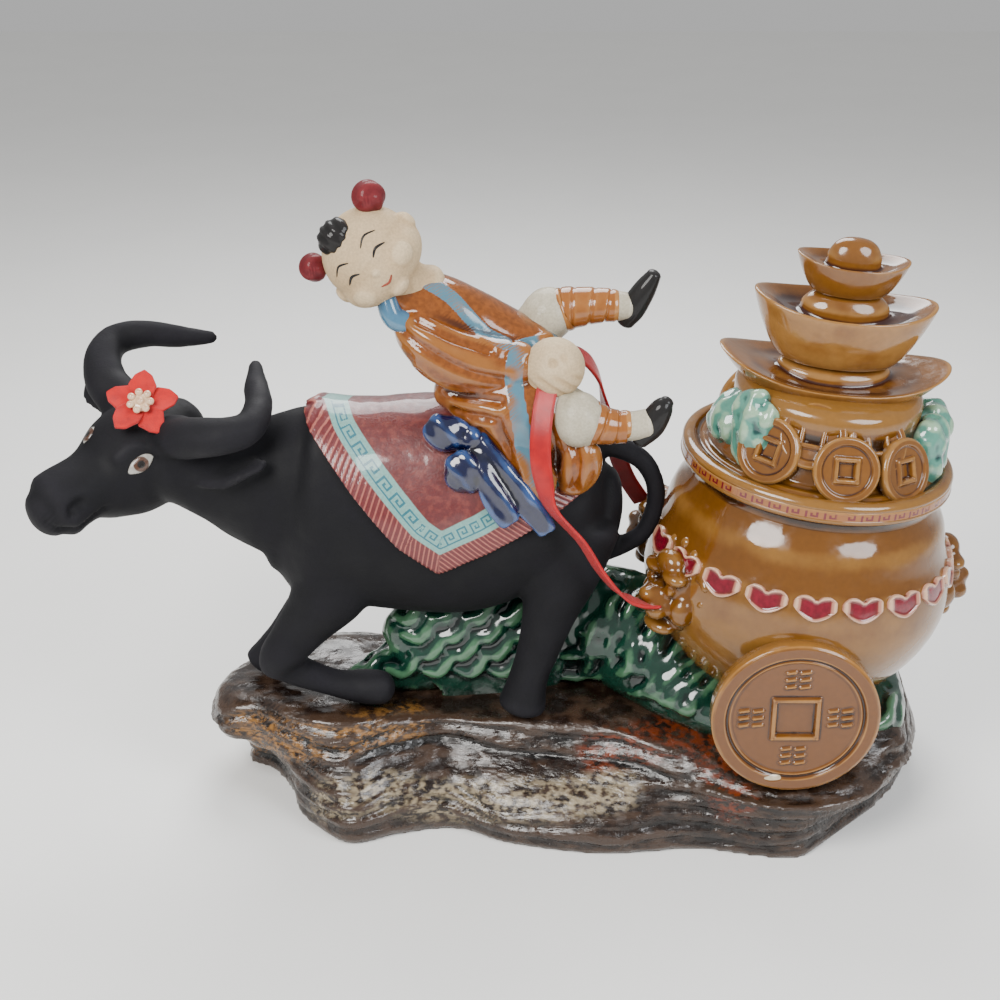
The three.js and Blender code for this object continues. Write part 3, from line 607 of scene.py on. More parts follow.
class Graph:
    """A short way to build a node tree."""

    def __init__(self, tree: bpy.types.NodeTree) -> None:
        """Keep the tree."""
        self.tree = tree

    def feed(self, node: bpy.types.Node, inputs: dict) -> bpy.types.Node:
        """Feed a node's inputs, by name or number, with sockets or plain values."""
        for name, value in inputs.items():
            if isinstance(value, bpy.types.NodeSocket):
                self.tree.links.new(value, node.inputs[name])
            else:
                node.inputs[name].default_value = value
        return node

    def node(self, kind: str, inputs: dict | None = None, **settings) -> bpy.types.Node:
        """Add a node, set it up and feed it."""
        node = self.tree.nodes.new(kind)
        for name, value in settings.items():
            setattr(node, name, value)
        return self.feed(node, inputs or {})

    def math(self, operation: str, a, b=0.0) -> bpy.types.NodeSocket:
        """Add a math node and return its value."""
        return self.node("ShaderNodeMath", {0: a, 1: b}, operation=operation).outputs[0]

    def mix(self, amount, a, b) -> bpy.types.NodeSocket:
        """Blend two colours and return the result."""
        return self.node("ShaderNodeMix", {0: amount, 6: a, 7: b}, data_type="RGBA").outputs[2]

    def step(self, value, low: float, high: float, start: float = 0.0, end: float = 1.0) -> bpy.types.NodeSocket:
        """Turn a value's stretch from low to high into a smooth rise from start to end."""
        inputs = {0: value, 1: low, 2: high, 3: start, 4: end}
        return self.node("ShaderNodeMapRange", inputs, interpolation_type="SMOOTHSTEP").outputs[0]

    def tag(self, name: str) -> bpy.types.NodeSocket:
        """Read a point attribute as a number."""
        return self.node("ShaderNodeAttribute", attribute_name=name).outputs["Fac"]

    def shade(self, colour, value) -> bpy.types.NodeSocket:
        """Brighten or darken a colour."""
        return self.node("ShaderNodeHueSaturation", {"Color": colour, "Value": value}).outputs[0]

    def speckle(self, size: float, detail: float = 4.0, stretch: Sequence[float] = (1, 1, 1)) -> bpy.types.NodeSocket:
        """Return noise of about that size in millimetres, as a number round 0.5."""
        place = self.node("ShaderNodeTexCoord").outputs["Object"]
        mapping = self.node("ShaderNodeMapping", {0: place, 3: tuple(stretch)})
        inputs = {"Vector": mapping.outputs[0], "Scale": 1.0 / (size * MM), "Detail": detail}
        return self.node("ShaderNodeTexNoise", inputs).outputs[0]

    def group(self, tree: bpy.types.NodeTree, inputs: dict) -> bpy.types.Node:
        """Add a node group and feed it."""
        return self.node("ShaderNodeGroup", inputs, node_tree=tree)


def empty_group(name: str, inputs: dict[str, str], outputs: dict[str, str]) -> bpy.types.NodeTree:
    """Start a node group with these sockets, each name given with its kind."""
    tree = bpy.data.node_groups.new(name, "ShaderNodeTree")
    for direction, sockets in (("INPUT", inputs), ("OUTPUT", outputs)):
        for title, kind in sockets.items():
            tree.interface.new_socket(title, in_out=direction, socket_type=f"NodeSocket{kind}")
    return tree


def glaze_group() -> bpy.types.NodeTree:
    """Glaze that runs thin on ridges, pools in hollows and is mottled by the kiln."""
    name = "glaze_pooling"
    if name in bpy.data.node_groups:
        return bpy.data.node_groups[name]
    colours = {"Base": "Color", "Pool": "Color", "Edge": "Color"}
    outputs = {"Color": "Color", "Roughness": "Float", "Height": "Float"}
    tree = empty_group(name, {**colours, "Hollow": "Float", "Mottle": "Float"}, outputs)
    g = Graph(tree)
    source = g.node("NodeGroupInput").outputs
    broad = g.speckle(14.0, 3.0)
    fine = g.speckle(2.2, 5.0)
    drift = g.math("MULTIPLY", g.math("SUBTRACT", broad, 0.5), source["Mottle"])
    depth = g.math("ADD", source["Hollow"], g.math("MULTIPLY", drift, 2.4))
    pooled = g.mix(g.step(depth, 0.1, 0.9), source["Base"], source["Pool"])
    thin = g.mix(g.step(depth, -0.35, -0.95), pooled, source["Edge"])
    grain = g.math("MULTIPLY", g.math("SUBTRACT", fine, 0.5), source["Mottle"])
    colour = g.shade(thin, g.math("ADD", 1.0, g.math("MULTIPLY", grain, 0.7)))
    rough = g.step(g.speckle(5.0, 4.0), 0.3, 0.8, 0.07, 0.24)
    g.node("NodeGroupOutput", {"Color": colour, "Roughness": rough, "Height": broad})
    return tree


def clay_group() -> bpy.types.NodeTree:
    """Bare fired clay: fine tooth, soft handling marks, and wear where the surface stands out."""
    name = "bare_clay"
    if name in bpy.data.node_groups:
        return bpy.data.node_groups[name]
    outputs = {"Color": "Color", "Roughness": "Float", "Height": "Float"}
    tree = empty_group(name, {"Base": "Color", "Worn": "Color", "Hollow": "Float"}, outputs)
    g = Graph(tree)
    source = g.node("NodeGroupInput").outputs
    patchy = g.speckle(18.0, 4.0)
    tooth = g.speckle(0.9, 3.0)
    worn = g.math("ADD", g.step(patchy, 0.4, 0.75, 0.0, 0.5), g.step(source["Hollow"], -0.2, -1.0, 0.0, 0.6))
    colour = g.shade(g.mix(worn, source["Base"], source["Worn"]), g.step(tooth, 0.2, 0.8, 0.86, 1.12))
    rough = g.step(patchy, 0.3, 0.7, 0.62, 0.84)
    g.node("NodeGroupOutput", {"Color": colour, "Roughness": rough, "Height": tooth})
    return tree


def key_group() -> bpy.types.NodeTree:
    """A running key border: a mask of squared hooks, from a place along the band and a share of its height."""
    name = "key_border"
    if name in bpy.data.node_groups:
        return bpy.data.node_groups[name]
    tree = empty_group(name, {"Walk": "Float", "Rise": "Float", "Period": "Float"}, {"Mask": "Float"})
    g = Graph(tree)
    source = g.node("NodeGroupInput").outputs
    u = g.math("FRACT", g.math("DIVIDE", source["Walk"], source["Period"]))
    v = source["Rise"]
    strokes = [
        (0.0, 1.0, 0.06, 0.17), (0.08, 0.2, 0.06, 0.92), (0.08, 0.78, 0.8, 0.92),
        (0.66, 0.78, 0.36, 0.92), (0.36, 0.78, 0.36, 0.48), (0.36, 0.48, 0.36, 0.64),
    ]
    mask = None
    for left, right, low, high in strokes:
        inside = g.math("MULTIPLY", g.math("GREATER_THAN", u, left), g.math("LESS_THAN", u, right))
        level = g.math("MULTIPLY", g.math("GREATER_THAN", v, low), g.math("LESS_THAN", v, high))
        stroke = g.math("MULTIPLY", inside, level)
        mask = stroke if mask is None else g.math("MAXIMUM", mask, stroke)
    g.node("NodeGroupOutput", {"Mask": mask})
    return tree


@dataclass(frozen=True)
class Finish:
    """A named finish. Each kind paints a Principled shader its own way."""

    name: str

    def paint(self, g: Graph, surface: bpy.types.Node) -> None:
        """Feed the shader."""
        raise NotImplementedError

    def material(self) -> bpy.types.Material:
        """Build the material."""
        material = bpy.data.materials.new(self.name)
        material.use_nodes = True
        material.node_tree.nodes.clear()
        g = Graph(material.node_tree)
        surface = g.node("ShaderNodeBsdfPrincipled")
        g.node("ShaderNodeOutputMaterial", {"Surface": surface.outputs[0]})
        self.paint(g, surface)
        return material

    def apply(self, g: Graph, surface: bpy.types.Node, colour, rough, height, depth: float, coat: float = 0.0) -> None:
        """Wire in a colour, a roughness, and a bump of that depth in millimetres."""
        bump = g.node("ShaderNodeBump", {"Height": height, "Distance": depth * MM, "Strength": 1.0})
        g.feed(surface, {"Base Color": colour, "Roughness": rough, "Normal": bump.outputs[0]})
        g.feed(surface, {"Coat Weight": coat, "Coat Roughness": 0.05})


@dataclass(frozen=True)
class Glaze(Finish):
    """A glossy glaze. It needs the piece's "hollow" tag."""

    base: Colour = (160, 100, 40)
    pool: Colour = (80, 40, 15)
    edge: Colour = (200, 150, 80)
    mottle: float = 0.5
    coat: float = 0.6
    bump: float = 0.25

    def run(self, g: Graph, base=None) -> bpy.types.Node:
        """Add the pooling group over this base colour, or over another one."""
        inputs = {
            "Base": srgb(self.base) if base is None else base,
            "Pool": srgb(self.pool),
            "Edge": srgb(self.edge),
            "Hollow": g.tag("hollow"),
            "Mottle": self.mottle,
        }
        return g.group(glaze_group(), inputs)

    def paint(self, g: Graph, surface: bpy.types.Node) -> None:
        """Feed the shader with the pooled glaze."""
        made = self.run(g).outputs
        self.apply(g, surface, made["Color"], made["Roughness"], made["Height"], self.bump, self.coat)


@dataclass(frozen=True)
class Clay(Finish):
    """Bare or thinly painted clay. It needs the piece's "hollow" tag."""

    base: Colour = (200, 180, 150)
    worn: Colour = (220, 205, 180)
    bump: float = 0.12
    coat: float = 0.0

    def paint(self, g: Graph, surface: bpy.types.Node) -> None:
        """Feed the shader with the clay."""
        inputs = {"Base": srgb(self.base), "Worn": srgb(self.worn), "Hollow": g.tag("hollow")}
        made = g.group(clay_group(), inputs).outputs
        self.apply(g, surface, made["Color"], made["Roughness"], made["Height"], self.bump, self.coat)
        g.feed(surface, {"Specular IOR Level": 0.22})


@dataclass(frozen=True)
class RockGlaze(Glaze):
    """Dark mottled glaze with stains of other colours, each where its tag says."""

    stains: tuple[tuple[str, Colour], ...] = ()

    def paint(self, g: Graph, surface: bpy.types.Node) -> None:
        """Feed the shader: the strata's colours, then the stains, broken up by noise."""
        layers = g.speckle(9.0, 6.0, (1.0, 1.0, 3.2))
        colour = g.mix(g.step(layers, 0.42, 0.66), srgb(self.base), srgb(self.edge))
        broken = g.step(g.speckle(3.4, 6.0, (1.0, 1.0, 2.0)), 0.4, 0.62)
        for tag, stain in self.stains:
            colour = g.mix(g.math("MULTIPLY", g.tag(tag), broken), colour, srgb(stain))
        made = self.run(g, colour).outputs
        rough = g.step(g.speckle(4.0, 5.0), 0.35, 0.7, 0.1, 0.4)
        self.apply(g, surface, made["Color"], rough, layers, 1.2, self.coat)


@dataclass(frozen=True)
class ClothGlaze(Glaze):
    """The saddle cloth: fringe, key border and centre, by the distance from the edge and along it."""

    fringe: float = 8.0
    border: float = 16.5
    field_colour: Colour = (84, 17, 19)
    fringe_colour: Colour = (92, 13, 18)
    stroke_colour: Colour = (150, 80, 68)
    border_colour: Colour = (106, 148, 142)
    key_colour: Colour = (18, 92, 106)

    def paint(self, g: Graph, surface: bpy.types.Node) -> None:
        """Feed the shader: each zone's colour, then the clay's tooth over all."""
        edge, walk = g.tag("edge"), g.tag("walk")
        slant = g.math("ADD", g.math("MULTIPLY", walk, 2.6), g.math("MULTIPLY", edge, 1.5))
        stroke = g.step(g.math("SINE", slant), 0.35, 0.85)
        fringe = g.mix(stroke, srgb(self.fringe_colour), srgb(self.stroke_colour))
        rise = g.math("DIVIDE", g.math("SUBTRACT", edge, self.fringe + 1.6), self.border - self.fringe - 3.2)
        inside = g.math("MULTIPLY", g.math("GREATER_THAN", rise, 0.0), g.math("LESS_THAN", rise, 1.0))
        key = g.group(key_group(), {"Walk": walk, "Rise": rise, "Period": 7.2}).outputs["Mask"]
        border = g.mix(g.math("MULTIPLY", key, inside), srgb(self.border_colour), srgb(self.key_colour))
        blotch = g.step(g.speckle(2.6, 6.0), 0.42, 0.66)
        middle = g.mix(blotch, srgb(self.field_colour), srgb(self.edge))
        colour = g.mix(g.step(edge, self.fringe - 0.25, self.fringe + 0.25), fringe, border)
        colour = g.mix(g.step(edge, self.border - 0.25, self.border + 0.25), colour, middle)
        made = g.group(clay_group(), {"Base": colour, "Worn": colour, "Hollow": g.tag("hollow")}).outputs
        rough = g.step(g.speckle(3.0, 4.0), 0.3, 0.7, 0.42, 0.62)
        self.apply(g, surface, made["Color"], rough, made["Height"], 0.15, self.coat)


@dataclass(frozen=True)
class TwoTone(Glaze):
    """A glaze with an inner colour below a value of a tag, and its base colour above it."""

    tag: str = "rim"
    low: float = 0.6
    high: float = 0.7
    inner: Colour = (130, 30, 50)

    def paint(self, g: Graph, surface: bpy.types.Node) -> None:
        """Feed the shader with the two colours and the pooled glaze."""
        amount = g.step(g.tag(self.tag), self.low, self.high)
        blotch = g.shade(srgb(self.inner), g.step(g.speckle(2.0, 5.0), 0.3, 0.7, 0.8, 1.25))
        made = self.run(g, g.mix(amount, blotch, srgb(self.base))).outputs
        self.apply(g, surface, made["Color"], made["Roughness"], made["Height"], self.bump, self.coat)


@dataclass(frozen=True)
class KeyGlaze(Glaze):
    """A glazed band with a key border in another colour, by its "walk" and "rise" tags."""

    key: Colour = (130, 40, 50)
    period: float = 7.0

    def paint(self, g: Graph, surface: bpy.types.Node) -> None:
        """Feed the shader with the border and the pooled glaze."""
        inputs = {"Walk": g.tag("walk"), "Rise": g.tag("rise"), "Period": self.period}
        mask = g.math("MULTIPLY", g.group(key_group(), inputs).outputs["Mask"], g.tag("panel"))
        made = self.run(g, g.mix(mask, srgb(self.base), srgb(self.key))).outputs
        height = g.math("SUBTRACT", 1.0, mask)
        self.apply(g, surface, made["Color"], made["Roughness"], height, self.bump, self.coat)


@dataclass(frozen=True)
class EyeGlaze(Glaze):
    """A painted eye: white, iris and pupil by the distance from the middle."""

    iris: float = 3.0
    pupil: float = 1.5
    iris_colour: Colour = (70, 44, 30)
    pupil_colour: Colour = (14, 10, 8)

    def paint(self, g: Graph, surface: bpy.types.Node) -> None:
        """Feed the shader: rings round the middle."""
        east, north = g.tag("east"), g.tag("north")
        away = g.math("SQRT", g.math("ADD", g.math("MULTIPLY", east, east), g.math("MULTIPLY", north, north)))
        ring = g.mix(g.step(away, self.iris - 0.3, self.iris + 0.2), srgb(self.iris_colour), srgb(self.base))
        colour = g.mix(g.step(away, self.pupil - 0.3, self.pupil + 0.2), srgb(self.pupil_colour), ring)
        colour = g.mix(g.step(g.tag("rim"), 0.86, 0.96), colour, srgb(self.pool))
        tint = g.shade(colour, g.step(g.speckle(1.4, 3.0), 0.3, 0.7, 0.9, 1.08))
        rough = g.step(g.speckle(2.0, 3.0), 0.3, 0.7, 0.15, 0.35)
        self.apply(g, surface, tint, rough, g.speckle(1.0), 0.05, self.coat)


@dataclass(frozen=True)
class Satin(Finish):
    """Woven satin ribbon with a fine warp."""

    colour: Colour = (168, 6, 12)
    shadow: Colour = (120, 8, 18)

    def paint(self, g: Graph, surface: bpy.types.Node) -> None:
        """Feed the shader: threads across the "lane" tag, and a soft sheen."""
        threads = g.math("SINE", g.math("MULTIPLY", g.tag("lane"), 60.0))
        cloudy = g.speckle(6.0, 3.0)
        colour = g.mix(g.step(cloudy, 0.35, 0.7, 0.0, 0.5), srgb(self.colour), srgb(self.shadow))
        colour = g.shade(colour, g.step(threads, -1.0, 1.0, 0.92, 1.06))
        rough = g.step(threads, -1.0, 1.0, 0.3, 0.42)
        self.apply(g, surface, colour, rough, threads, 0.03)
        g.feed(surface, {"Sheen Weight": 0.05, "Anisotropic": 0.5})


@dataclass(frozen=True)
class Felt(Finish):
    """Pressed felt: matted fibres and a fuzzy sheen."""

    colour: Colour = (188, 14, 12)
    shadow: Colour = (140, 12, 18)

    def paint(self, g: Graph, surface: bpy.types.Node) -> None:
        """Feed the shader: two sizes of fibre."""
        fibre = g.speckle(0.5, 5.0, (1.0, 2.5, 1.0))
        cloudy = g.speckle(4.0, 3.0)
        colour = g.mix(g.step(cloudy, 0.35, 0.75, 0.0, 0.6), srgb(self.colour), srgb(self.shadow))
        colour = g.shade(colour, g.step(fibre, 0.25, 0.75, 0.8, 1.15))
        self.apply(g, surface, colour, g.step(fibre, 0.3, 0.7, 0.75, 0.95), fibre, 0.25)
        g.feed(surface, {"Sheen Weight": 0.1})


@dataclass(frozen=True)
class Floor(Finish):
    """Plain pale floor with a very faint mottle."""

    colour: Colour = (236, 236, 234)

    def paint(self, g: Graph, surface: bpy.types.Node) -> None:
        """Feed the shader with a nearly even white."""
        tint = g.step(g.speckle(60.0, 2.0), 0.3, 0.7, 0.985, 1.0)
        self.apply(g, surface, g.shade(srgb(self.colour), tint), 0.9, g.speckle(3.0), 0.02)


BUFFALO_CLAY = Clay("buffalo_clay", (10, 10, 14), (24, 23, 28), bump=0.1)
CLOTH = ClothGlaze("cloth_glaze", edge=(104, 38, 32))
EYE = EyeGlaze("buffalo_eye", base=(150, 147, 140), pool=(12, 10, 10), coat=0.5)
SKIN = Clay("boy_clay", (174, 150, 116), (192, 172, 140))
BUN = Clay("bun_maroon", (86, 14, 22), (108, 34, 38), coat=0.2)
BLACK = Clay("black_slip", (10, 9, 9), (24, 22, 22), coat=0.35)
LIP = Clay("lip_red", (118, 46, 36), (138, 66, 52))
ROBE = TwoTone(
    "robe_glaze", (72, 112, 130), (62, 28, 10), (134, 84, 38), 0.25, coat=0.3,
    tag="trim", low=0.4, inner=(114, 62, 22),
)
COLLAR = Glaze("collar_glaze", (22, 62, 100), (5, 16, 44), (66, 108, 134), 0.5)
TROUSERS = Clay("trouser_clay", (160, 152, 132), (180, 173, 154), coat=0.2)
LEGGING = Glaze("legging_glaze", (134, 80, 34), (62, 28, 10), (158, 108, 58), 0.5, coat=0.3)
BOW = Glaze("bow_glaze", (6, 13, 48), (2, 4, 18), (40, 68, 116), 0.5, coat=0.9)
POT = Glaze("pot_glaze", (98, 60, 17), (38, 19, 6), (122, 84, 36), 0.4, coat=0.3, bump=0.35)
GOLD = Glaze("ingot_glaze", (108, 68, 26), (46, 20, 14), (138, 98, 50), 0.5, coat=0.3)
RIM_KEY = KeyGlaze("rim_glaze", (136, 82, 34), (66, 28, 10), (150, 108, 62), 0.3, coat=0.3, key=(96, 16, 28))
HEART = TwoTone("heart_glaze", (170, 118, 98), (92, 38, 28), (198, 160, 132), 0.2, inner=(106, 12, 30))
FOLIAGE = Glaze("foliage_glaze", (76, 130, 114), (14, 58, 56), (136, 166, 138), 0.7, coat=0.9)
WHEEL = TwoTone(
    "wheel_glaze", (98, 58, 18), (44, 21, 6), (142, 98, 46), 0.4, coat=0.3,
    tag="sound", low=0.4, inner=(190, 176, 150),
)
GRASS = Glaze("grass_glaze", (13, 50, 38), (3, 17, 15), (64, 102, 74), 0.7, coat=0.6)
ROCK = RockGlaze(
    "rock_glaze", (26, 16, 11), (8, 5, 4), (58, 43, 33), 0.5, coat=0.2,
    stains=(("ochre", (132, 92, 44)), ("rust", (102, 42, 15)), ("cream", (136, 123, 100))),
)
SATIN = Satin("red_satin")
FELT = Felt("red_felt")
BEAD = Glaze("bead_pearl", (190, 148, 114), (100, 52, 34), (220, 192, 160), 0.3, coat=1.0, bump=0.05)
FLOOR = Floor("pale_floor")


# The satin ribbon


@dataclass(frozen=True)
class Ribbon:
    """The free satin ribbon: from the near mask, through the clasped hands and on to the far mask."""

    width: float = 8.0
    thick: float = 1.2
    steps: int = 150
    # Points on the middle line, each with how far the ribbon has twisted out of facing the show side
    route: tuple[tuple[float, float, float, float], ...] = (
        (61, -32, 101, -20), (53, -35, 105, -55), (46, -37, 110, -60), (38.5, -38, 120, -60),
        (31, -38.5, 133, -60), (19.5, -38.5, 147, -55), (16.5, -38, 158, -25), (15.2, -36.5, 167, -5),
        (15.3, -33.5, 177, 0), (17, -27.5, 188, 0), (20, -20, 196, 0), (24.5, -13, 199, 15),
        (29.5, -5, 196.5, 60), (34.5, 2, 190.5, 80), (38.5, 9, 182, 80), (41, 16, 172, 75),
        (44, 24, 157, 50), (47.5, 31, 141, 20), (53, 36, 125, 15), (60, 38, 113, 15),
    )

    def skin(self) -> Skin:
        """Build the band: a flattened ring, turned by the twist about the path, at each step along the route."""
        at = sample(self.route, self.steps)
        along, side, _ = frames(at[:, :3], (1, 0, 0))
        twist = np.radians(at[:, 3])[:, None]
        side = side * np.cos(twist) + np.cross(along, side) * np.sin(twist)
        face = np.cross(along, side)
        lane = np.array([-1.0, -0.94, -0.6, -0.2, 0.2, 0.6, 0.94, 1.0])
        lane = np.concatenate([lane, lane[-2:0:-1]])
        back = np.array([0.0, -1, -1, -1, -1, -1, -1, 0.0, 1, 1, 1, 1, 1, 1])
        ring = side[:, None] * (lane * self.width / 2.0)[None, :, None]
        ring = ring + face[:, None] * (back * self.thick / 2.0)[None, :, None]
        return stack(at[:, None, :3] + ring, {"lane": np.tile(lane, self.steps)})

    def build(self, studio: Studio) -> None:
        obj = studio.piece("ribbon", self.skin(), SATIN, Node.RIBBON, Slot.SATIN)
        path = studio.place.row(sample(self.route, self.steps)[:, :3])


# The water buffalo


@dataclass(frozen=True)
class HeadFrame:
    """The buffalo's head: where it is and which way it looks."""

    origin: tuple[float, float, float] = (-139.5, 0.0, 167.0)
    yaw: float = 40.0
    pitch: float = 26.0
    roll: float = -8.0

    def axes(self) -> tuple[Array, Array, Array]:
        """Return the directions to the muzzle, to the near side and up."""
        yaw, pitch, roll = (math.radians(a) for a in (self.yaw, self.pitch, self.roll))
        level = math.cos(pitch)
        muzzle = np.array([-level * math.cos(yaw), -level * math.sin(yaw), -math.sin(pitch)])
        side = np.array([math.sin(yaw), -math.cos(yaw), 0.0])
        side = side * math.cos(roll) + np.cross(muzzle, side) * math.sin(roll)
        return muzzle, side, np.cross(muzzle, side)

    def at(self, forward: float, sideways: float, height: float) -> Array:
        """Return the point so far towards the muzzle, to the near side and up."""
        muzzle, side, up = self.axes()
        return np.array(self.origin) + muzzle * forward + side * sideways + up * height

    def rows(self, table: Rows, hand: float = 1.0) -> Array:
        """Turn stations in the head's own directions into stations in the design frame."""
        return np.array([[*self.at(row[0], row[1] * hand, row[2]), row[3], row[4]] for row in table])


@dataclass(frozen=True)
class Buffalo:
    """The buffalo in bare dark clay, with its painted eyes and the saddle cloth."""

    head: HeadFrame = HeadFrame()
    voxel: float = 1.4
    body: tuple = (
        (-86, 0, 132, 18, 32), (-74, 0, 131, 29, 43.5), (-56, 0, 130.5, 32, 43), (-20, 0, 129.5, 33, 45.5),
        (6, 0, 131, 33, 40), (22, 0, 129, 31, 34.5), (33, 0, 127, 26, 29), (40, 0, 126, 15, 21),
    )
    neck: tuple = (
        (-76, 0, 138, 24, 35), (-95, -1, 141, 19, 28), (-110, -3, 145.5, 16, 21.5), (-123, -5, 149.5, 14, 17),
        (-133, -8, 152, 13, 14),
    )
    # In the head's own directions: towards the muzzle, to the near side, height, half width, half depth
    skull: tuple = (
        (-12, 0, -15, 13, 13), (-3, 0, -14, 19, 19.5), (8, 0, -13, 21, 22), (18, 0, -11.5, 20, 21),
        (27, 0, -9.5, 16, 17), (34, 0, -7, 13.3, 13.5), (42, 0, -5, 13.3, 13.4),
        (48, 0, -4.6, 13.2, 13.8), (52, 0, -4.4, 9.8, 10.4),
    )
    horn: tuple = (
        (3, 8, -5, 8, 9), (-1, 18, 0, 8, 9), (-3, 28, 3.5, 7.8, 8.4), (-9.7, 39, 4.5, 7.2, 7.6),
        (-20, 44.5, 3, 6.4, 6.6), (-30.6, 37.5, 1, 5.5, 5.6), (-38.5, 25.5, -1.2, 4.6, 4.6),
        (-46, 15, -2.8, 2.9, 2.9),
    )
    near_ear: tuple = ((2, 17, -12, 4, 3), (-2, 28, -14, 8, 2.8), (-9, 40, -14.5, 9, 2.6), (-16, 52, -10, 3, 1.4))
    far_ear: tuple = ((2, -16, -10, 4, 3), (-1, -25, -6, 8, 2.8), (-3, -34, -3, 10, 2.6), (-5, -42, -1, 4, 1.4))
    near_foreleg: tuple = (
        (-62, -14, 112, 14, 19), (-69, -15.5, 98, 12.5, 15.5), (-77, -16.5, 87, 10.5, 11.5),
        (-84, -16.5, 77, 9, 9.5), (-89.5, -16, 69, 8.5, 8.5), (-91, -15.5, 64, 7.5, 7.5),
    )
    near_shank: tuple = (
        (-92, -15, 67, 7.5, 7.5), (-80, -14, 60, 6.5, 6.5), (-67, -13, 54.5, 6, 5.8),
        (-55, -12.5, 52.5, 7.5, 7.5), (-49, -12.5, 52, 7.5, 7.5),
    )
    far_foreleg: tuple = (
        (-62, 13, 108, 11, 13), (-73, 15, 88, 9, 10), (-86, 16, 69, 7, 7.5), (-96, 16, 56, 6.5, 6.5),
        (-101, 16, 48, 7.5, 8),
    )
    near_hindleg: tuple = (
        (28, -14, 128, 15, 20), (24, -18, 108, 13, 15.5), (19.5, -20, 91, 9.5, 11), (15.5, -20, 75, 8, 8.6),
        (11.5, -20, 61, 7.5, 8), (9, -20, 49, 9, 10),
    )
    far_hindleg: tuple = (
        (24, 12, 122, 13, 16), (29, 17, 104, 12, 13), (34, 19, 86, 9, 10), (34, 19, 68, 7.5, 8),
        (31, 19, 56, 7.5, 8), (30, 19, 49, 8.5, 9.5),
    )
    tail: tuple = (
        (30, 0, 157, 6, 6), (45, 0, 156, 4.8, 4.8), (57, 0, 149, 4, 4), (62, 0, 138, 3.9, 3.9),
        (61.5, 0, 127, 3.8, 3.8), (57.5, 0, 117.5, 3.8, 3.8), (49.5, 0, 112, 4, 4), (39, 0, 108, 4.4, 4.4),
    )
    # Where details show in the photograph, as pixels
    near_eye: tuple[float, float] = (141.0, 464.0)
    far_eye: tuple[float, float] = (89.0, 435.0)
    nostril: Pixels = ((82, 503), (76, 505), (71, 510), (72, 517))
    mouth: Pixels = ((44, 521), (58, 529), (76, 529), (96, 520), (106, 508))
    brow: Pixels = ((118, 458), (128, 447), (144, 445), (160, 455))

    def parts(self) -> list[Skin]:
        """Build the parts that are melted together."""
        head = self.head
        muzzle, side, up = head.axes()
        return [
            loft(self.body, 70, 64),
            loft(self.neck, 40, 48),
            loft(head.rows(self.skull), 50, 48, side, 0.7),
            loft(head.rows(self.horn), 70, 28, up, 1.0),
            loft(head.rows(self.horn, -1.0), 70, 28, up, 1.0),
            loft(head.rows(self.near_ear), 30, 24, muzzle),
            loft(head.rows(self.far_ear), 30, 24, muzzle),
            loft(self.near_foreleg, 40, 32),
            loft(self.near_shank, 40, 28, cap=0.8),
            loft(self.far_foreleg, 40, 28, cap=0.5),
            loft(self.near_hindleg, 44, 32, cap=0.45),
            loft(self.far_hindleg, 44, 32, cap=0.45),
            loft(self.tail, 60, 18),
        ]

    def carve(self, studio: Studio, skin: Skin) -> Skin:
        """Press in the nostrils and the mouth, raise the brow, and leave the modeller's soft unevenness."""
        tree = skin.tree()
        height = 0.35 * noise(skin.points, 16.0, 3, 2) + 0.12 * noise(skin.points, 5.0, 9)
        for path, width, depth in ((self.nostril, 1.6, -2.2), (self.mouth, 0.9, -1.1), (self.brow, 2.4, 1.3)):
            spots, _ = studio.view.spots(tree, path)
            if len(spots) > 1:
                height += depth * bell(path_distance(skin.points, spots)[0], width)
        return skin.lifted(height)

    def eye(self, studio: Studio, tree: BVHTree, pixel: tuple[float, float], wide: float, tall: float) -> Skin:
        """Lay one almond-shaped eye at a pixel: its half height is tall times one less the width's square."""
        spots, normals = studio.view.spots(tree, [pixel])
        muzzle, _, up = self.head.axes()
        normal = unit(normals[0])
        right = unit(-muzzle - (-muzzle @ normal) * normal)
        rise = np.cross(normal, right)
        rise = rise if rise @ up > 0 else -rise
        return patch(
            tree, spots[0], right, rise,
            lambda s: (-tall * (1.0 - s * s), tall * (1.0 - np.abs(s) ** 2.4)),
            wide,
            lambda rim: 1.3 * np.sqrt(np.maximum(1.0 - rim**2, 0.0)) - 0.25,
        )

    def build(self, studio: Studio) -> Skin:
        """Add the buffalo and its eyes, and return its skin for the cloth to lie on."""
        skin = self.carve(studio, studio.fused(self.parts(), self.voxel, 5))
        studio.piece("buffalo", skin.glazed(), BUFFALO_CLAY, Node.BUFFALO, Slot.BUFFALO)
        tree = skin.tree()
        eyes = [self.eye(studio, tree, self.near_eye, 6.4, 3.2), self.eye(studio, tree, self.far_eye, 4.0, 2.6)]
        studio.piece("buffalo_eyes", joined(eyes), EYE, Node.BUFFALO, Slot.BUFFALO)
        return skin


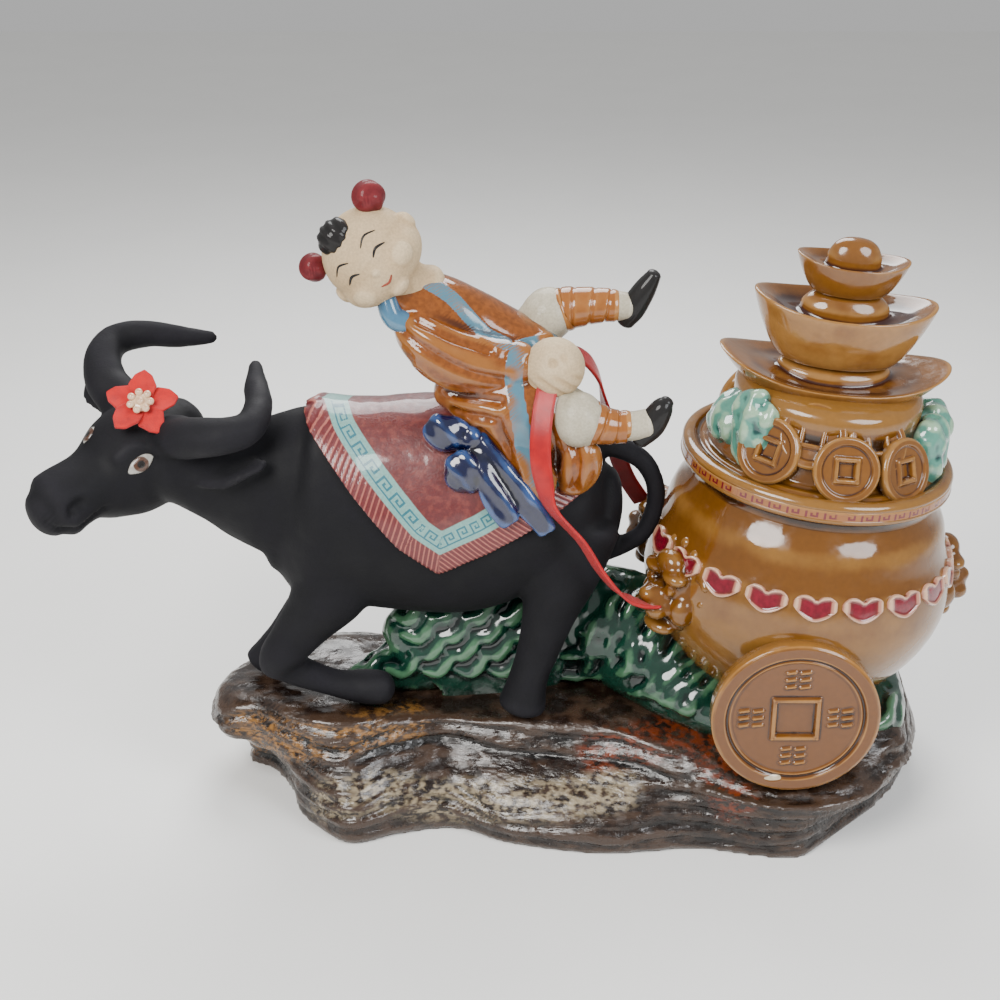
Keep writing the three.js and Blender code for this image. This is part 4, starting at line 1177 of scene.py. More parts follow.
@dataclass(frozen=True)
class SaddleCloth:
    """The draped square of cloth, glazed over the clay: fringe, key border and a brick-red centre."""

    front: float = -76.0
    back: float = 30.0
    # The lower edge seen from the side, as x and z
    hem: tuple = ((-76, 173), (-58, 150), (-39, 127), (-24, 116), (-2, 127), (30, 146))
    lift: float = 1.7
    columns: int = 150
    lanes: int = 190

    def drape(self, ox: Buffalo, x: Array, share: Array) -> Array:
        """Place points on the body's own rings: share goes from 0 at the near hem to 1 at the far hem."""
        hem = np.asarray(self.hem, dtype=float)
        body = sample(ox.body, 200)
        centre, wide, tall = (np.interp(x, body[:, 0], body[:, k]) for k in (2, 3, 4))
        low = np.arcsin(np.clip((np.interp(x, hem[:, 0], hem[:, 1]) - centre) / tall, -1.0, 0.995))
        turn = low + (math.pi - 2.0 * low) * share
        return np.stack([x, -wide * np.cos(turn), centre + tall * np.sin(turn)], axis=-1).reshape(-1, 3)

    def build(self, studio: Studio, ox: Buffalo, skin: Skin) -> None:
        """Drape a grid over the back, between the two hems, and tag it for the pattern."""
        tree = skin.tree()
        inset = np.concatenate([[0.0, 0.0025], np.linspace(0.01, 0.99, self.columns), [0.9975, 1.0]])
        drop = np.concatenate([[0.0, 0.0025], np.linspace(0.01, 0.99, self.lanes), [0.9975, 1.0]])
        x = self.front + (self.back - self.front) * inset[:, None] + 0.0 * drop[None]
        ground, facing = nearest(tree, self.drape(ox, x, drop[None]))
        hem_x = np.linspace(self.front, self.back, 60)
        near_edge, _ = nearest(tree, self.drape(ox, hem_x, np.zeros(60)))
        near, walk = path_distance(ground, near_edge)
        far, _ = path_distance(ground, near_edge * np.array([1.0, -1.0, 1.0]))
        edge = np.minimum(np.minimum(near, far), self.back - ground[:, 0])
        walk = walk * np.linalg.norm(np.diff(near_edge, axis=0), axis=1).sum()
        border = np.zeros((len(inset), len(drop)), dtype=bool)
        border[[0, -1], :] = border[:, [0, -1]] = True
        strands = 0.35 * np.sin(walk * 2.6 + edge * 1.5) * (1.0 - smoothstep(edge, 6.5, 8.0))
        rise = np.where(border.ravel(), -0.6, self.lift + strands + 0.25 * noise(ground, 9.0, 5))
        tags = {"edge": edge, "walk": walk}
        cloth = Skin(ground + unit(facing) * rise[:, None], grid(len(inset), len(drop)), [], tags)
        if (cloth.normals() * facing).sum() < 0.0:
            cloth.quads = cloth.quads[:, ::-1]
        studio.piece("saddle_cloth", cloth.glazed(2), CLOTH, Node.BUFFALO, Slot.FIGURE)


# The boy


@dataclass(frozen=True)
class BoyHead:
    """The boy's head: a doll-like ball with two buns, a forelock and a plain smiling face."""

    place: tuple[float, float, float] = (-48.0, -6.0, 236.8)
    tilt: float = 51.0

    def at(self, side: float, crown: float, front: float) -> Array:
        """Return the point so far sideways, towards the crown and forwards."""
        c, s = math.cos(math.radians(self.tilt)), math.sin(math.radians(self.tilt))
        return np.array(self.place) + np.array([side * c - crown * s, -front, side * s + crown * c])

    def blob(self, side: float, crown: float, front: float, sizes: Sequence[float]) -> Skin:
        """Make an ellipsoid that leans with the head."""
        return ball(self.at(side, crown, front), sizes, -math.radians(self.tilt))

    def line(self, tree: BVHTree, stations: Rows, width: float, height: float) -> Skin:
        """Lay a tapering painted line through points given sideways and towards the crown."""
        path = np.array([self.at(side, crown, 40.0) for side, crown in sample(stations, 24)])
        spots = np.array([tree.ray_cast(Vector(p), Vector((0, 1, 0)))[0] for p in path])
        taper = np.sin(np.linspace(0.12, math.pi - 0.12, 24)) ** 0.7
        return laid(tree, spots, width * taper, height, 0.15, 5)

    def build(self, studio: Studio) -> None:
        """Add the head, its buns, forelock and features."""
        neck = [[*self.at(0, -12, 0), 9, 9], [*self.at(0, -20, -2), 8.5, 8.5], [*self.at(2, -26, -4), 9, 9]]
        parts = [
            self.blob(0, 1, 0, (18.2, 15.5, 17.4)),
            self.blob(0, -5, 2, (19.2, 13.5, 12)),
            self.blob(0, -3.2, 14.4, (2.0, 2.6, 1.7)),
            self.blob(9, -6, 9.5, (6.5, 5.6, 5.6)),
            self.blob(-9, -6, 9.5, (6.5, 5.6, 5.6)),
            self.blob(0, -13.5, 9.0, (5.0, 4.6, 3.6)),
            self.blob(18.6, -2, 0, (2.6, 3.0, 4.2)),
            self.blob(-18.6, -2, 0, (2.6, 3.0, 4.2)),
            loft(neck, 16, 28),
        ]
        skin = studio.fused(parts, 0.7, 5)
        studio.piece("boy_head", skin.glazed(), SKIN, Node.BOY, Slot.FIGURE)
        tree = skin.tree()
        dark = []
        for hand in (1.0, -1.0):
            dark.append(self.line(tree, [(4.0 * hand, 1.0), (7.2 * hand, 2.4), (10.6 * hand, 0.9)], 0.62, 0.3))
            dark.append(self.line(tree, [(3.6 * hand, 6.6), (7.6 * hand, 8.3), (11.6 * hand, 6.2)], 0.5, 0.25))
        studio.piece("boy_eyes_and_brows", joined(dark).glazed(1), BLACK, Node.BOY, Slot.FIGURE)
        mouth = self.line(tree, [(-3.0, -8.2), (0.0, -9.4), (3.0, -8.2)], 0.6, 0.35)
        studio.piece("boy_mouth", mouth.glazed(1), LIP, Node.BOY, Slot.FIGURE)
        buns = [self.blob(17, 14.2, 0, (6.2, 6.2, 6.2)), self.blob(-17.6, 13.6, 0, (5.4, 5.4, 5.4))]
        for bun in buns:
            away = bun.points - bun.points.mean(axis=0)
            bun.lifted(0.22 * np.sin(3.0 * np.arctan2(away[:, 2], away[:, 0]) + 1.1 * away[:, 1]))
        studio.piece("boy_buns", joined(buns).glazed(2), BUN, Node.BOY, Slot.FIGURE)
        lock = self.blob(-1, 15.5, 6, (7.4, 6.5, 6.0))
        lock.lifted(0.3 * np.sin(lock.points @ np.array([1.2, 0.3, 1.5])))
        studio.piece("boy_forelock", lock.glazed(2), BLACK, Node.BOY, Slot.FIGURE)


@dataclass(frozen=True)
class BoyBody:
    """The boy's robe, hands, legs, shoes and sash, each in its own finish."""

    torso: tuple = (
        (-42, -4, 223, 8.5, 8.5), (-34, -3, 219, 11.5, 11.5), (-22, -2, 213.5, 13.5, 13),
        (-6, -1, 203, 14.5, 14.5), (8, -1, 194, 14, 14.5), (20, -2, 187, 11, 13),
    )
    collar: tuple = ((-43, -9, 224, 5, 4), (-40, -13, 215, 5, 4.5), (-33, -13, 212, 5, 4.5), (-22, -14, 208, 3, 3))
    near_sleeve: tuple = (
        (-34.5, -10, 212, 7, 7), (-28.5, -14, 206.5, 9, 10), (-18.5, -17, 200, 9.5, 12),
        (-7, -18, 197.5, 9, 11.5), (2, -18, 197.5, 8, 9.5), (9, -18, 197, 7, 8.5),
    )
    far_sleeve: tuple = (
        (-30, 8, 214, 7, 7), (-18, 11, 207, 9, 10), (-4, 10, 203, 9, 10), (8, 2, 202, 7, 8), (16, -6, 200, 6, 6),
    )
    skirt: tuple = (
        (-20, -9, 185, 8, 8), (-8, -13, 182, 12, 12), (4, -16, 179, 14, 16), (16, -17, 174, 14, 19),
        (26, -16, 169, 12, 15), (34, -16, 167, 7, 10),
    )
    hem: tuple = ((2, -20, 176, 6, 9), (9, -26, 165, 5, 9), (14.5, -31, 154, 3.4, 7), (17, -33, 149.5, 2.4, 4))
    near_thigh: tuple = ((8, -6, 186, 9, 9), (20, -17, 182, 9, 9), (28.5, -24, 178, 10, 10.4))
    near_knee: tuple = (29.5, -25, 178, 10.4, 9.6, 10.8)
    near_shin: tuple = (
        (34, -24.5, 176.6, 8.6, 8.8), (36, -24.5, 176, 7.8, 8), (43, -24, 174.6, 6.5, 6.6), (48, -24, 174.8, 6, 6),
    )
    near_sock: tuple = ((47, -24, 174.8, 5.6, 5.6), (51, -24, 175, 5.6, 5.6), (56, -24, 176, 5.4, 5.6))
    near_shoe: tuple = (
        (53, -24, 169, 3.4, 3.6), (57, -24, 175, 4.6, 5.4), (61, -24, 182, 4.2, 4.4), (63, -24, 185, 2.6, 2.6),
    )
    far_thigh: tuple = ((8, 4, 192, 9, 9), (13.5, 7, 201, 9.8, 9.8), (18, 8, 207.5, 10, 10.2))
    far_knee: tuple = (18.5, 8, 207.8, 10.4, 9.8, 10.6)
    far_shin: tuple = (
        (25, 8, 210, 8.4, 8.6), (27, 8, 210.5, 8, 8.2), (37, 8, 211.5, 6.7, 6.9), (44, 8, 211.5, 6, 6.2),
    )
    far_sock: tuple = ((43, 8, 211.5, 5.6, 5.8), (46, 8, 211.3, 5.6, 5.8), (49.5, 8, 211, 5.2, 5.4))
    far_shoe: tuple = (
        (48.5, 8, 205, 3.6, 3.6), (51, 8, 210, 4.6, 5), (55.5, 8, 218, 4.4, 4.4), (59, 8, 224, 3.2, 2.8),
    )
    fists: tuple = (20.5, -20, 197, 11.5, 9.5, 11.8)
    robe_tail: tuple = (29, -25, 159, 9.5, 6.5, 12.5)
    bow: tuple = (
        (-11, -25, 170, 4, 4, 4.5, 0), (-20, -24, 172, 9.5, 4.5, 7.5, 0.3), (-14, -30, 158, 7.6, 5, 9.2, -0.2),
    )
    bow_tails: tuple = (
        ((-10, -24, 169, 3, 4), (-5, -32, 157, 2.6, 5), (1, -35.5, 145, 2.4, 5), (3.5, -36, 140, 2, 4)),
        ((-8, -24, 169, 3, 4), (2, -31, 159, 2.6, 4.5), (12, -34.5, 145, 2.4, 5), (18, -35, 136, 2, 3.5)),
    )
    # Where the pale trims and the folds show in the photograph, as pixels
    front_trim: Pixels = (
        (565, 336), (540, 344), (520, 350), (514, 372), (516, 400), (522, 430), (528, 465), (540, 498),
    )
    tail_trim: Pixels = ((598, 452), (602, 470), (596, 488), (580, 497), (560, 492), (550, 480))
    neck_trim: Pixels = ((426, 282), (450, 297), (470, 318), (486, 334), (505, 344))
    folds: tuple[Pixels, ...] = (
        ((402, 330), (430, 352), (468, 372), (505, 380)), ((398, 345), (420, 372), (455, 394), (500, 402)),
        ((418, 322), (450, 338), (490, 352)), ((428, 396), (455, 410), (490, 418)),
        ((482, 430), (500, 452), (515, 480)), ((498, 420), (508, 450), (518, 476)),
        ((548, 420), (556, 450), (556, 486)), ((572, 440), (578, 462), (574, 488)),
    )

    def robe(self, studio: Studio) -> Skin:
        """Melt the robe's parts, press its folds in, and raise and tag its pale trims."""
        parts = [loft(self.torso), loft(self.near_sleeve), loft(self.far_sleeve), loft(self.skirt), loft(self.hem)]
        parts.append(ball(self.robe_tail[:3], self.robe_tail[3:], 0.3))
        skin = studio.fused(parts, 0.9, 4)
        tree = skin.tree()
        height = 0.25 * noise(skin.points, (7.0, 7.0, 12.0), 4, 2)
        for fold in self.folds:
            spots, _ = studio.view.spots(tree, fold)
            if len(spots) > 1:
                away, _ = path_distance(skin.points, sample(spots, 24))
                height += 0.5 * bell(away - 2.8, 1.9) - 1.4 * bell(away, 1.7)
        seen = studio.view.pixels(skin.points)
        facing = skin.normals() @ -studio.view.axes()[2]
        trim = np.zeros(len(seen))
        for path, half in ((self.front_trim, 9.0), (self.tail_trim, 5.5), (self.neck_trim, 7.0)):
            away, _ = path_distance(seen, sample(path, 40))
            trim = np.maximum(trim, 1.0 - smoothstep(away, half - 1.0, half + 1.0))
        trim = trim * smoothstep(facing, -0.3, 0.1) * (skin.points[:, 1] < 0.0)
        skin.lifted(height + 0.5 * trim)
        skin.tags["trim"] = trim
        return skin.glazed(12)

    def wrapped(self, rows: Rows, turns: float, sides: int = 40) -> Skin:
        """Loft a legging and wind the wrap's edge round it as a fine slanting groove."""
        skin = loft(rows, 70, sides)
        run = skin.tags["run"]
        turn = np.tile(np.linspace(0.0, 1.0, sides, endpoint=False), len(run) // sides)
        phase = (run * turns + turn) % 1.0
        return skin.lifted(0.3 * phase - 0.5 * bell(np.minimum(phase, 1.0 - phase), 0.09))

    def hands(self, studio: Studio) -> Skin:
        """Make the clasped fists: one round form with two dimples and soft grooves between the fingers."""
        middle = np.array(self.fists[:3], dtype=float)
        skin = studio.fused([ball(middle, self.fists[3:])], 0.6, 2)
        for spot in ((-1.0, -9.0, 5.2), (3.4, -9.0, 7.6)):
            skin.lifted(-1.6 * bell(np.linalg.norm(skin.points - middle - np.array(spot), axis=1), 1.8))
        away = skin.points - middle
        front = smoothstep(-away[:, 1], 1.0, 6.0) * smoothstep(-away[:, 2], -1.0, 3.0)
        fingers = away[:, 0] * 0.9 + away[:, 2] * 1.1
        return skin.lifted(-0.5 * front * (0.5 + 0.5 * np.cos(fingers)) ** 3)

    def build(self, studio: Studio) -> None:
        """Add every part of the boy below the neck."""
        place = (Node.BOY, Slot.FIGURE)
        studio.piece("boy_robe", self.robe(studio), ROBE, *place)
        studio.piece("boy_collar", loft(self.collar).glazed(2), COLLAR, *place)
        studio.piece("boy_hands", self.hands(studio).glazed(), SKIN, *place)
        knees = [ball(k[:3], k[3:]) for k in (self.near_knee, self.far_knee)]
        legs = studio.fused([loft(self.near_thigh), loft(self.far_thigh), *knees], 0.8, 4)
        legs.lifted(0.5 * noise(legs.points, (5.0, 5.0, 9.0), 8, 2))
        studio.piece("boy_trousers", legs.glazed(), TROUSERS, *place)
        leggings = joined([self.wrapped(self.near_shin, 3.4), self.wrapped(self.far_shin, 4.2)])
        studio.piece("boy_leggings", leggings.glazed(2), LEGGING, *place)
        studio.piece("boy_socks", joined([loft(self.near_sock), loft(self.far_sock)]).glazed(2), TROUSERS, *place)
        studio.piece("boy_shoes", joined([loft(self.near_shoe), loft(self.far_shoe)]).glazed(2), BLACK, *place)
        loops = [ball(b[:3], b[3:6], b[6]) for b in self.bow] + [loft(t) for t in self.bow_tails]
        bow = studio.fused(loops, 0.6, 3)
        bow.lifted(0.4 * np.sin(bow.points @ np.array([0.62, 0.15, 0.5])) + 0.5 * noise(bow.points, 6.0, 2))
        studio.piece("boy_sash_bow", bow.glazed(8), BOW, *place)


# The treasure pot


@dataclass(frozen=True)
class Ingot:
    """A boat-shaped ingot: heights over the pot's rim, and half sizes at its foot and its lip."""

    base: float
    tip: float
    rim: float
    dome: float
    long: float
    deep: float
    foot: float
    foot_deep: float
    # Rings from the foot up: how far it has flared, how high it is, how far in from the edge
    rings: tuple = (
        (0, 0, 0.9), (0, 0.02, 1), (0.3, 0.2, 1), (0.66, 0.55, 1), (0.93, 0.9, 1), (1, 1, 0.985), (1, 1, 0.93),
        (1, 0.94, 0.84), (1, 0.84, 0.7), (1, 0.8, 0.56), (1, 0.84, 0.49),
    )

    def points(self) -> Array:
        """Build its rings: a flared wall whose lip rises at both ends, round a domed middle."""
        turn = np.linspace(0.0, 2.0 * math.pi, 160, endpoint=False)
        ends = np.abs(np.cos(turn)) ** 3
        controls = []
        for flare, lift, inset in self.rings:
            x = (self.foot + (self.long - self.foot) * flare) * inset * np.cos(turn)
            y = (self.foot_deep + (self.deep - self.foot_deep) * flare) * inset * np.sin(turn)
            share = self.rim + (1.0 - self.rim) * ends * inset
            controls.append(np.stack([x, y, self.base + lift * (self.tip - self.base) * share], axis=1))
        x, y, z = controls[-1].T
        for up in (0.35, 0.7, 0.95, 1.2, 1.45):
            inset = math.cos(up) ** 0.7
            controls.append(np.stack([x * inset, y * inset, z + (self.dome - z) * math.sin(up)], axis=1))
        return sample(np.stack(controls).reshape(len(controls), -1), 80).reshape(80, -1, 3)


@dataclass(frozen=True)
class TreasurePot:
    """The leaning pot: rim with a key border, band of hearts, lion masks, and a heap of coins and ingots."""

    lean: float = math.radians(5.8)
    rim: tuple[float, float, float] = (126.0, CART_Y, 149.0)
    # Outline from the foot up, as radius and height above the middle of the rim
    belly: tuple = (
        (28, -99), (39, -92), (49, -81.5), (57, -69), (61.2, -57), (61.6, -46), (60, -36), (57, -28),
        (54.5, -19), (51, -12.5), (49.4, -9),
    )
    lip: tuple = (
        (49.4, -8), (50.2, -5.4), (52.2, -4.4), (53.6, -3.6), (54, -2.4), (53.6, -1.8), (53.4, -1.2), (53.4, 0.6),
        (53.6, 1.4), (53.8, 2.4), (53, 3.8), (51.4, 4.5), (49.6, 4.4), (48.4, 3.4), (47.2, 3.2), (45.8, 4.2),
        (44, 4.4), (42.8, 5.5),
    )
    heap: tuple = ((42.8, 5.5), (37, 20), (34, 33), (6, 35))
    hearts: int = 20
    heart_turn: float = -3.0
    heart_height: float = -35.7
    masks: tuple[float, ...] = (-62.0, -118.0, 97.0)
    # Parts of a mask as sideways, distance from the axis, height, and three half sizes
    mask_parts: tuple = (
        (0, 57, -51, 14, 9, 18), (0, 66.5, -53, 7.5, 7.5, 7), (0, 72, -50.5, 4, 3.2, 3), (4, 69, -56, 4.4, 5, 3.8),
        (-4, 69, -56, 4.4, 5, 3.8), (6.2, 64.5, -41.5, 6, 4.6, 3), (-6.2, 64.5, -41.5, 6, 4.6, 3),
        (0, 63, -38, 7, 5, 5.4), (10, 60.5, -55, 5, 6, 7), (-10, 60.5, -55, 5, 6, 7), (0, 63.5, -65, 8, 6, 3.6),
        (6.4, 66, -46.8, 2.6, 2.6, 2.4), (-6.4, 66, -46.8, 2.6, 2.6, 2.4),
    )
    ingots: tuple[Ingot, ...] = (
        Ingot(base=27, tip=44, rim=0.6, dome=43, long=46, deep=27, foot=26, foot_deep=18),
        Ingot(base=42, tip=68, rim=0.84, dome=70.5, long=36, deep=21, foot=22.5, foot_deep=13.5),
        Ingot(base=69.5, tip=84, rim=0.86, dome=91, long=22, deep=13.5, foot=14, foot_deep=9),
    )
    coin_radius: float = 12.8
    coin_thick: float = 4.0
    # Coins as bearing, distance from the axis, height, lean
    coins: tuple = (
        (-38, 42, 15, 20), (3, 43, 14, 20), (38, 43, 12, 20), (140, 42, 14, 20), (180, 42, 14, 20),
        (220, 42, 14, 20), (-17, 36, 23, 32), (23, 36, 22, 32),
    )
    # Foliage as bearing, distance from the axis, height, three half sizes
    lobes: tuple = (
        (-78, 38, 16, 12, 9, 12), (-54, 38, 19, 11, 8, 17), (70, 42, 13, 10, 8, 15), (92, 42, 15, 12, 9, 13),
    )

    def lean_over(self, points: Array) -> Array:
        """Lean points given from the middle of the rim, and carry them to the pot's place."""
        c, s = math.cos(self.lean), math.sin(self.lean)
        x = points[..., 0] * c + points[..., 2] * s
        z = points[..., 2] * c - points[..., 0] * s
        return np.stack([x, points[..., 1], z], axis=-1) + np.array(self.rim)

    def around(self, skin: Skin, bearing: float) -> Skin:
        """Turn a skin that faces -Y round the pot's axis, 0 being the show side, and lean it with the pot."""
        c, s = math.cos(math.radians(bearing)), math.sin(math.radians(bearing))
        x, y, z = skin.points.T
        turned = np.stack([x * c - y * s, x * s + y * c, z], axis=1)
        return Skin(self.lean_over(turned), skin.quads, skin.caps, dict(skin.tags))

    def spun(self, outline: Array, sides: int) -> Array:
        """Spin an outline of radius and height round the pot's axis, as rings by points by 3."""
        turn = np.linspace(0.0, 2.0 * math.pi, sides, endpoint=False)
        radius, height = outline[:, 0][:, None], outline[:, 1][:, None]
        rings = np.stack([radius * np.cos(turn), radius * np.sin(turn), height + 0.0 * turn], axis=-1)
        return self.lean_over(rings)

    def coin(self, lean: float, out: float, rise: float) -> Skin:
        """Make a coin that faces -Y: raised outer ring, and a square frame round a sunk square."""
        radii = np.concatenate([np.linspace(0.4, self.coin_radius, 44), [self.coin_radius, self.coin_radius]])[:, None]
        turn = np.linspace(0.0, 2.0 * math.pi, 96, endpoint=False)
        x, z = radii * np.cos(turn), radii * np.sin(turn)
        square = np.maximum(np.abs(x), np.abs(z))
        height = 1.1 * smoothstep(radii, 9.3, 10.1) * (1.0 - 0.8 * smoothstep(radii, 12.0, 12.8))
        height = height + 1.0 * smoothstep(square, 3.0, 3.6) * (1.0 - smoothstep(square, 4.6, 5.4))
        height = height - 1.6 * (1.0 - smoothstep(square, 2.6, 3.2))
        face = self.coin_thick / 2.0 - 1.0 + height
        face[-2] = 0.0
        face[-1] = -self.coin_thick / 2.0
        a = math.radians(lean)
        y, upright = -face * math.cos(a) + z * math.sin(a), z * math.cos(a) + face * math.sin(a)
        return stack(np.stack([x, y - out, upright + rise], axis=-1)[::-1])

    def mask(self, studio: Studio) -> Skin:
        """Melt a lion mask that faces -Y: snout, brows, cheeks, jaw, curled ears and a beaded mane."""
        parts = [ball((x, -out, z), sizes) for x, out, z, *sizes in self.mask_parts]
        for hand in (1.0, -1.0):
            turn = np.linspace(0.6, 5.6, 14)
            curl = [
                (hand * (14.5 + 4.6 * math.cos(t)), -57.5, -44.5 + 5.2 * math.sin(t), 2.2, 2.2) for t in turn
            ]
            parts.append(loft(curl, 40, 14))
        for t in np.linspace(-0.4, math.pi + 0.4, 9):
            parts.append(ball((15.0 * math.cos(t), -56.0, -47.0 + 16.5 * math.sin(t)), (3.0, 3.2, 3.0), detail=12))
        skin = studio.fused(parts, 0.85, 7)
        for hand in (1.0, -1.0):
            away = np.linalg.norm(skin.points - np.array([hand * 6.6, -68.6, -46.8]), axis=1)
            skin.lifted(-0.9 * bell(away, 1.1))
        return skin.glazed()

    def heart(self, tree: BVHTree, bearing: float) -> Skin:
        """Lay one heart of the band: two lobes up, a shallow point down, and a raised rim."""
        c, s = math.cos(math.radians(bearing)), math.sin(math.radians(bearing))
        middle = np.array(self.rim)
        spot = self.lean_over(np.array([60.0 * s, -60.0 * c, self.heart_height]))
        right = self.lean_over(np.array([c, s, 0.0])) - middle
        up = self.lean_over(np.array([0.0, 0.0, 1.0])) - middle

        def edges(share: Array) -> tuple[Array, Array]:
            """Give the lower and the upper edge of the heart."""
            lobes = np.sqrt(np.maximum(1.0 - (2.0 * np.abs(share) - 1.0) ** 2, 0.0))
            return -6.2 * (1.0 - np.abs(share) ** 1.9), 1.6 + 3.2 * lobes - 1.5 * np.abs(share) ** 6

        def ridge(rim: Array) -> Array:
            """Give the height: a flat middle, a raised rim and a sunk edge."""
            return 0.9 + 0.9 * bell(rim - 0.8, 0.12) - 1.6 * smoothstep(rim, 0.9, 1.0)

        return patch(tree, spot, right, up, edges, 8.9, ridge, 24)

    def border(self, sides: int = 360, lanes: int = 10) -> Skin:
        """Make the rim's upright band, tagged for the key border and its panels."""
        rise = np.linspace(0.0, 1.0, lanes)
        radius = 53.2 + 0.6 * np.sqrt(np.maximum(1.0 - (2.0 * rise - 1.0) ** 6, 0.0))
        rings = self.spun(np.stack([radius, -3.3 + 5.2 * rise], axis=1), sides)
        walk = np.tile(np.arange(sides) / sides * 2.0 * math.pi * radius[0], lanes)
        seam = np.abs(np.mod(walk, 42.0) - 21.0)
        tags = {"walk": walk, "rise": np.repeat(rise, sides), "panel": smoothstep(19.5 - seam, 0.0, 0.4)}
        return Skin(rings.reshape(-1, 3), grid(lanes, sides, ring=True), [], tags)

    def foliage(self) -> list[Skin]:
        """Make the crinkled leaves beside the coins."""
        leaves = []
        for bearing, out, height, *sizes in self.lobes:
            leaf = ball((0, -out, height), sizes, detail=42)
            leaf.lifted(2.4 * noise(leaf.points, 7.0, int(bearing), 2) + 0.4 * np.sin(leaf.points[:, 0] * 0.9))
            leaves.append(self.around(leaf, bearing))
        return leaves

    def build(self, studio: Studio) -> None:
        """Add the pot and everything on it."""
        place = (Node.POT, Slot.POT)
        outline = np.concatenate([sample(self.belly, 90), sample(self.lip, 70), sample(self.heap, 30)])
        body = stack(self.spun(outline, 240))
        studio.piece("pot_body", body.glazed(), POT, *place)
        studio.piece("pot_rim_border", self.border().glazed(1), RIM_KEY, *place)
        tree = body.tree()
        bearings = self.heart_turn + 360.0 / self.hearts * np.arange(self.hearts)
        studio.piece("pot_hearts", joined([self.heart(tree, b) for b in bearings]).glazed(1), HEART, *place)
        mask = self.mask(studio)
        studio.piece("pot_masks", joined([self.around(mask, b) for b in self.masks]), POT, *place)
        coins = [self.around(self.coin(lean, out, rise), b) for b, out, rise, lean in self.coins]
        studio.piece("pot_coins", joined(coins).glazed(3), GOLD, *place)
        ingots = [stack(self.lean_over(ingot.points())) for ingot in self.ingots]
        studio.piece("pot_ingots", joined(ingots).glazed(4), GOLD, *place)
        studio.piece("pot_foliage", joined(self.foliage()).glazed(2), FOLIAGE, *place)


@dataclass(frozen=True)
class CoinWheel:
    """One wheel in the form of an old coin: outer rim, beaded ring, square frame and rows of plain strokes."""

    node: Node
    hand: float = 1.0
    x: float = 114.0
    z: float = 68.0
    inner: float = 59.0
    radius: float = 32.6
    thick: float = 8.5
    lip: float = 1.4
    hole: float = 7.6
    frame: float = 1.7
    mark_reach: float = 17.2
    # Where the near wheel's rim has lost a flake, from the middle of its face
    chip: tuple[float, float] = (-7.3, -26.8)
    rings: int = 96
    sides: int = 260

    def marks(self, flat: Array) -> Array:
        """Give a mask of short strokes in plain rows at the four places of the coin's signs."""
        mask = np.zeros(len(flat))
        for angle in np.radians([0.0, 90.0, 180.0, 270.0]):
            centre = self.mark_reach * np.array([math.cos(angle), math.sin(angle)])
            for row in (-3.2, 0.0, 3.2):
                for start, end in ((-4.4, -1.2), (1.0, 4.4)):
                    away, _ = path_distance(flat, centre + np.array([[start, row], [end, row + 0.5]]))
                    mask = np.maximum(mask, 1.0 - smoothstep(away, 0.45, 0.95))
        return mask

    def face(self, x: Array, y: Array) -> Array:
        """Give the height of the coin's face above its field."""
        r = np.hypot(x, y)
        square = np.maximum(np.abs(x), np.abs(y))
        outer = self.hole + self.frame
        height = self.lip * smoothstep(r, 26.6, 27.4) * (1.0 - 0.5 * smoothstep(r, 31.4, self.radius))
        height = height + 0.6 * bell(r - 25.4, 0.55)
        frame = smoothstep(square, self.hole - 0.3, self.hole + 0.2) * (1.0 - smoothstep(square, outer - 0.2, outer + 0.5))
        height = height + self.lip * frame - 0.8 * (1.0 - smoothstep(square, self.hole - 0.4, self.hole))
        return height + 0.8 * self.marks(np.stack([x.ravel(), y.ravel()], axis=1)).reshape(x.shape)

    def build(self, studio: Studio) -> None:
        """Add the wheel, standing upright with its face outwards."""
        turn = np.linspace(0.0, 2.0 * math.pi, self.sides, endpoint=False)
        radii = np.linspace(0.3, self.radius, self.rings)[:, None]
        x, y = radii * np.cos(turn), radii * np.sin(turn)
        front = np.stack([x, y, self.thick - self.lip + self.face(x, y)], axis=-1)
        radii = self.radius + np.array([0.0, 0.0, -0.7, -1.0])[:, None]
        depth = np.array([7.3, 1.8, 1.2, 0.0])[:, None] + 0.0 * turn
        side = np.stack([radii * np.cos(turn), radii * np.sin(turn), depth], axis=-1)
        skin = stack(np.concatenate([front, side])[::-1])
        a, b, depth = skin.points.T
        flake = bell(np.hypot((a - self.chip[0]) / 3.2, b - self.chip[1]), 1.1) * (depth > self.thick - 3.0)
        flake = flake * (self.node is Node.NEAR_WHEEL)
        depth = depth - 0.8 * flake
        skin.glazed(3)
        skin.tags["sound"] = 1.0 - smoothstep(flake, 0.25, 0.6)
        skin.tags["hollow"] = skin.tags["hollow"] * skin.tags["sound"]
        upright = [self.x + a, CART_Y - self.hand * (self.inner + depth), self.z + self.hand * b]
        skin.points = np.stack(upright, axis=1)
        studio.piece(self.node.value + "_glazed", skin, WHEEL, self.node, Slot.WHEEL)


# The rock and the grass


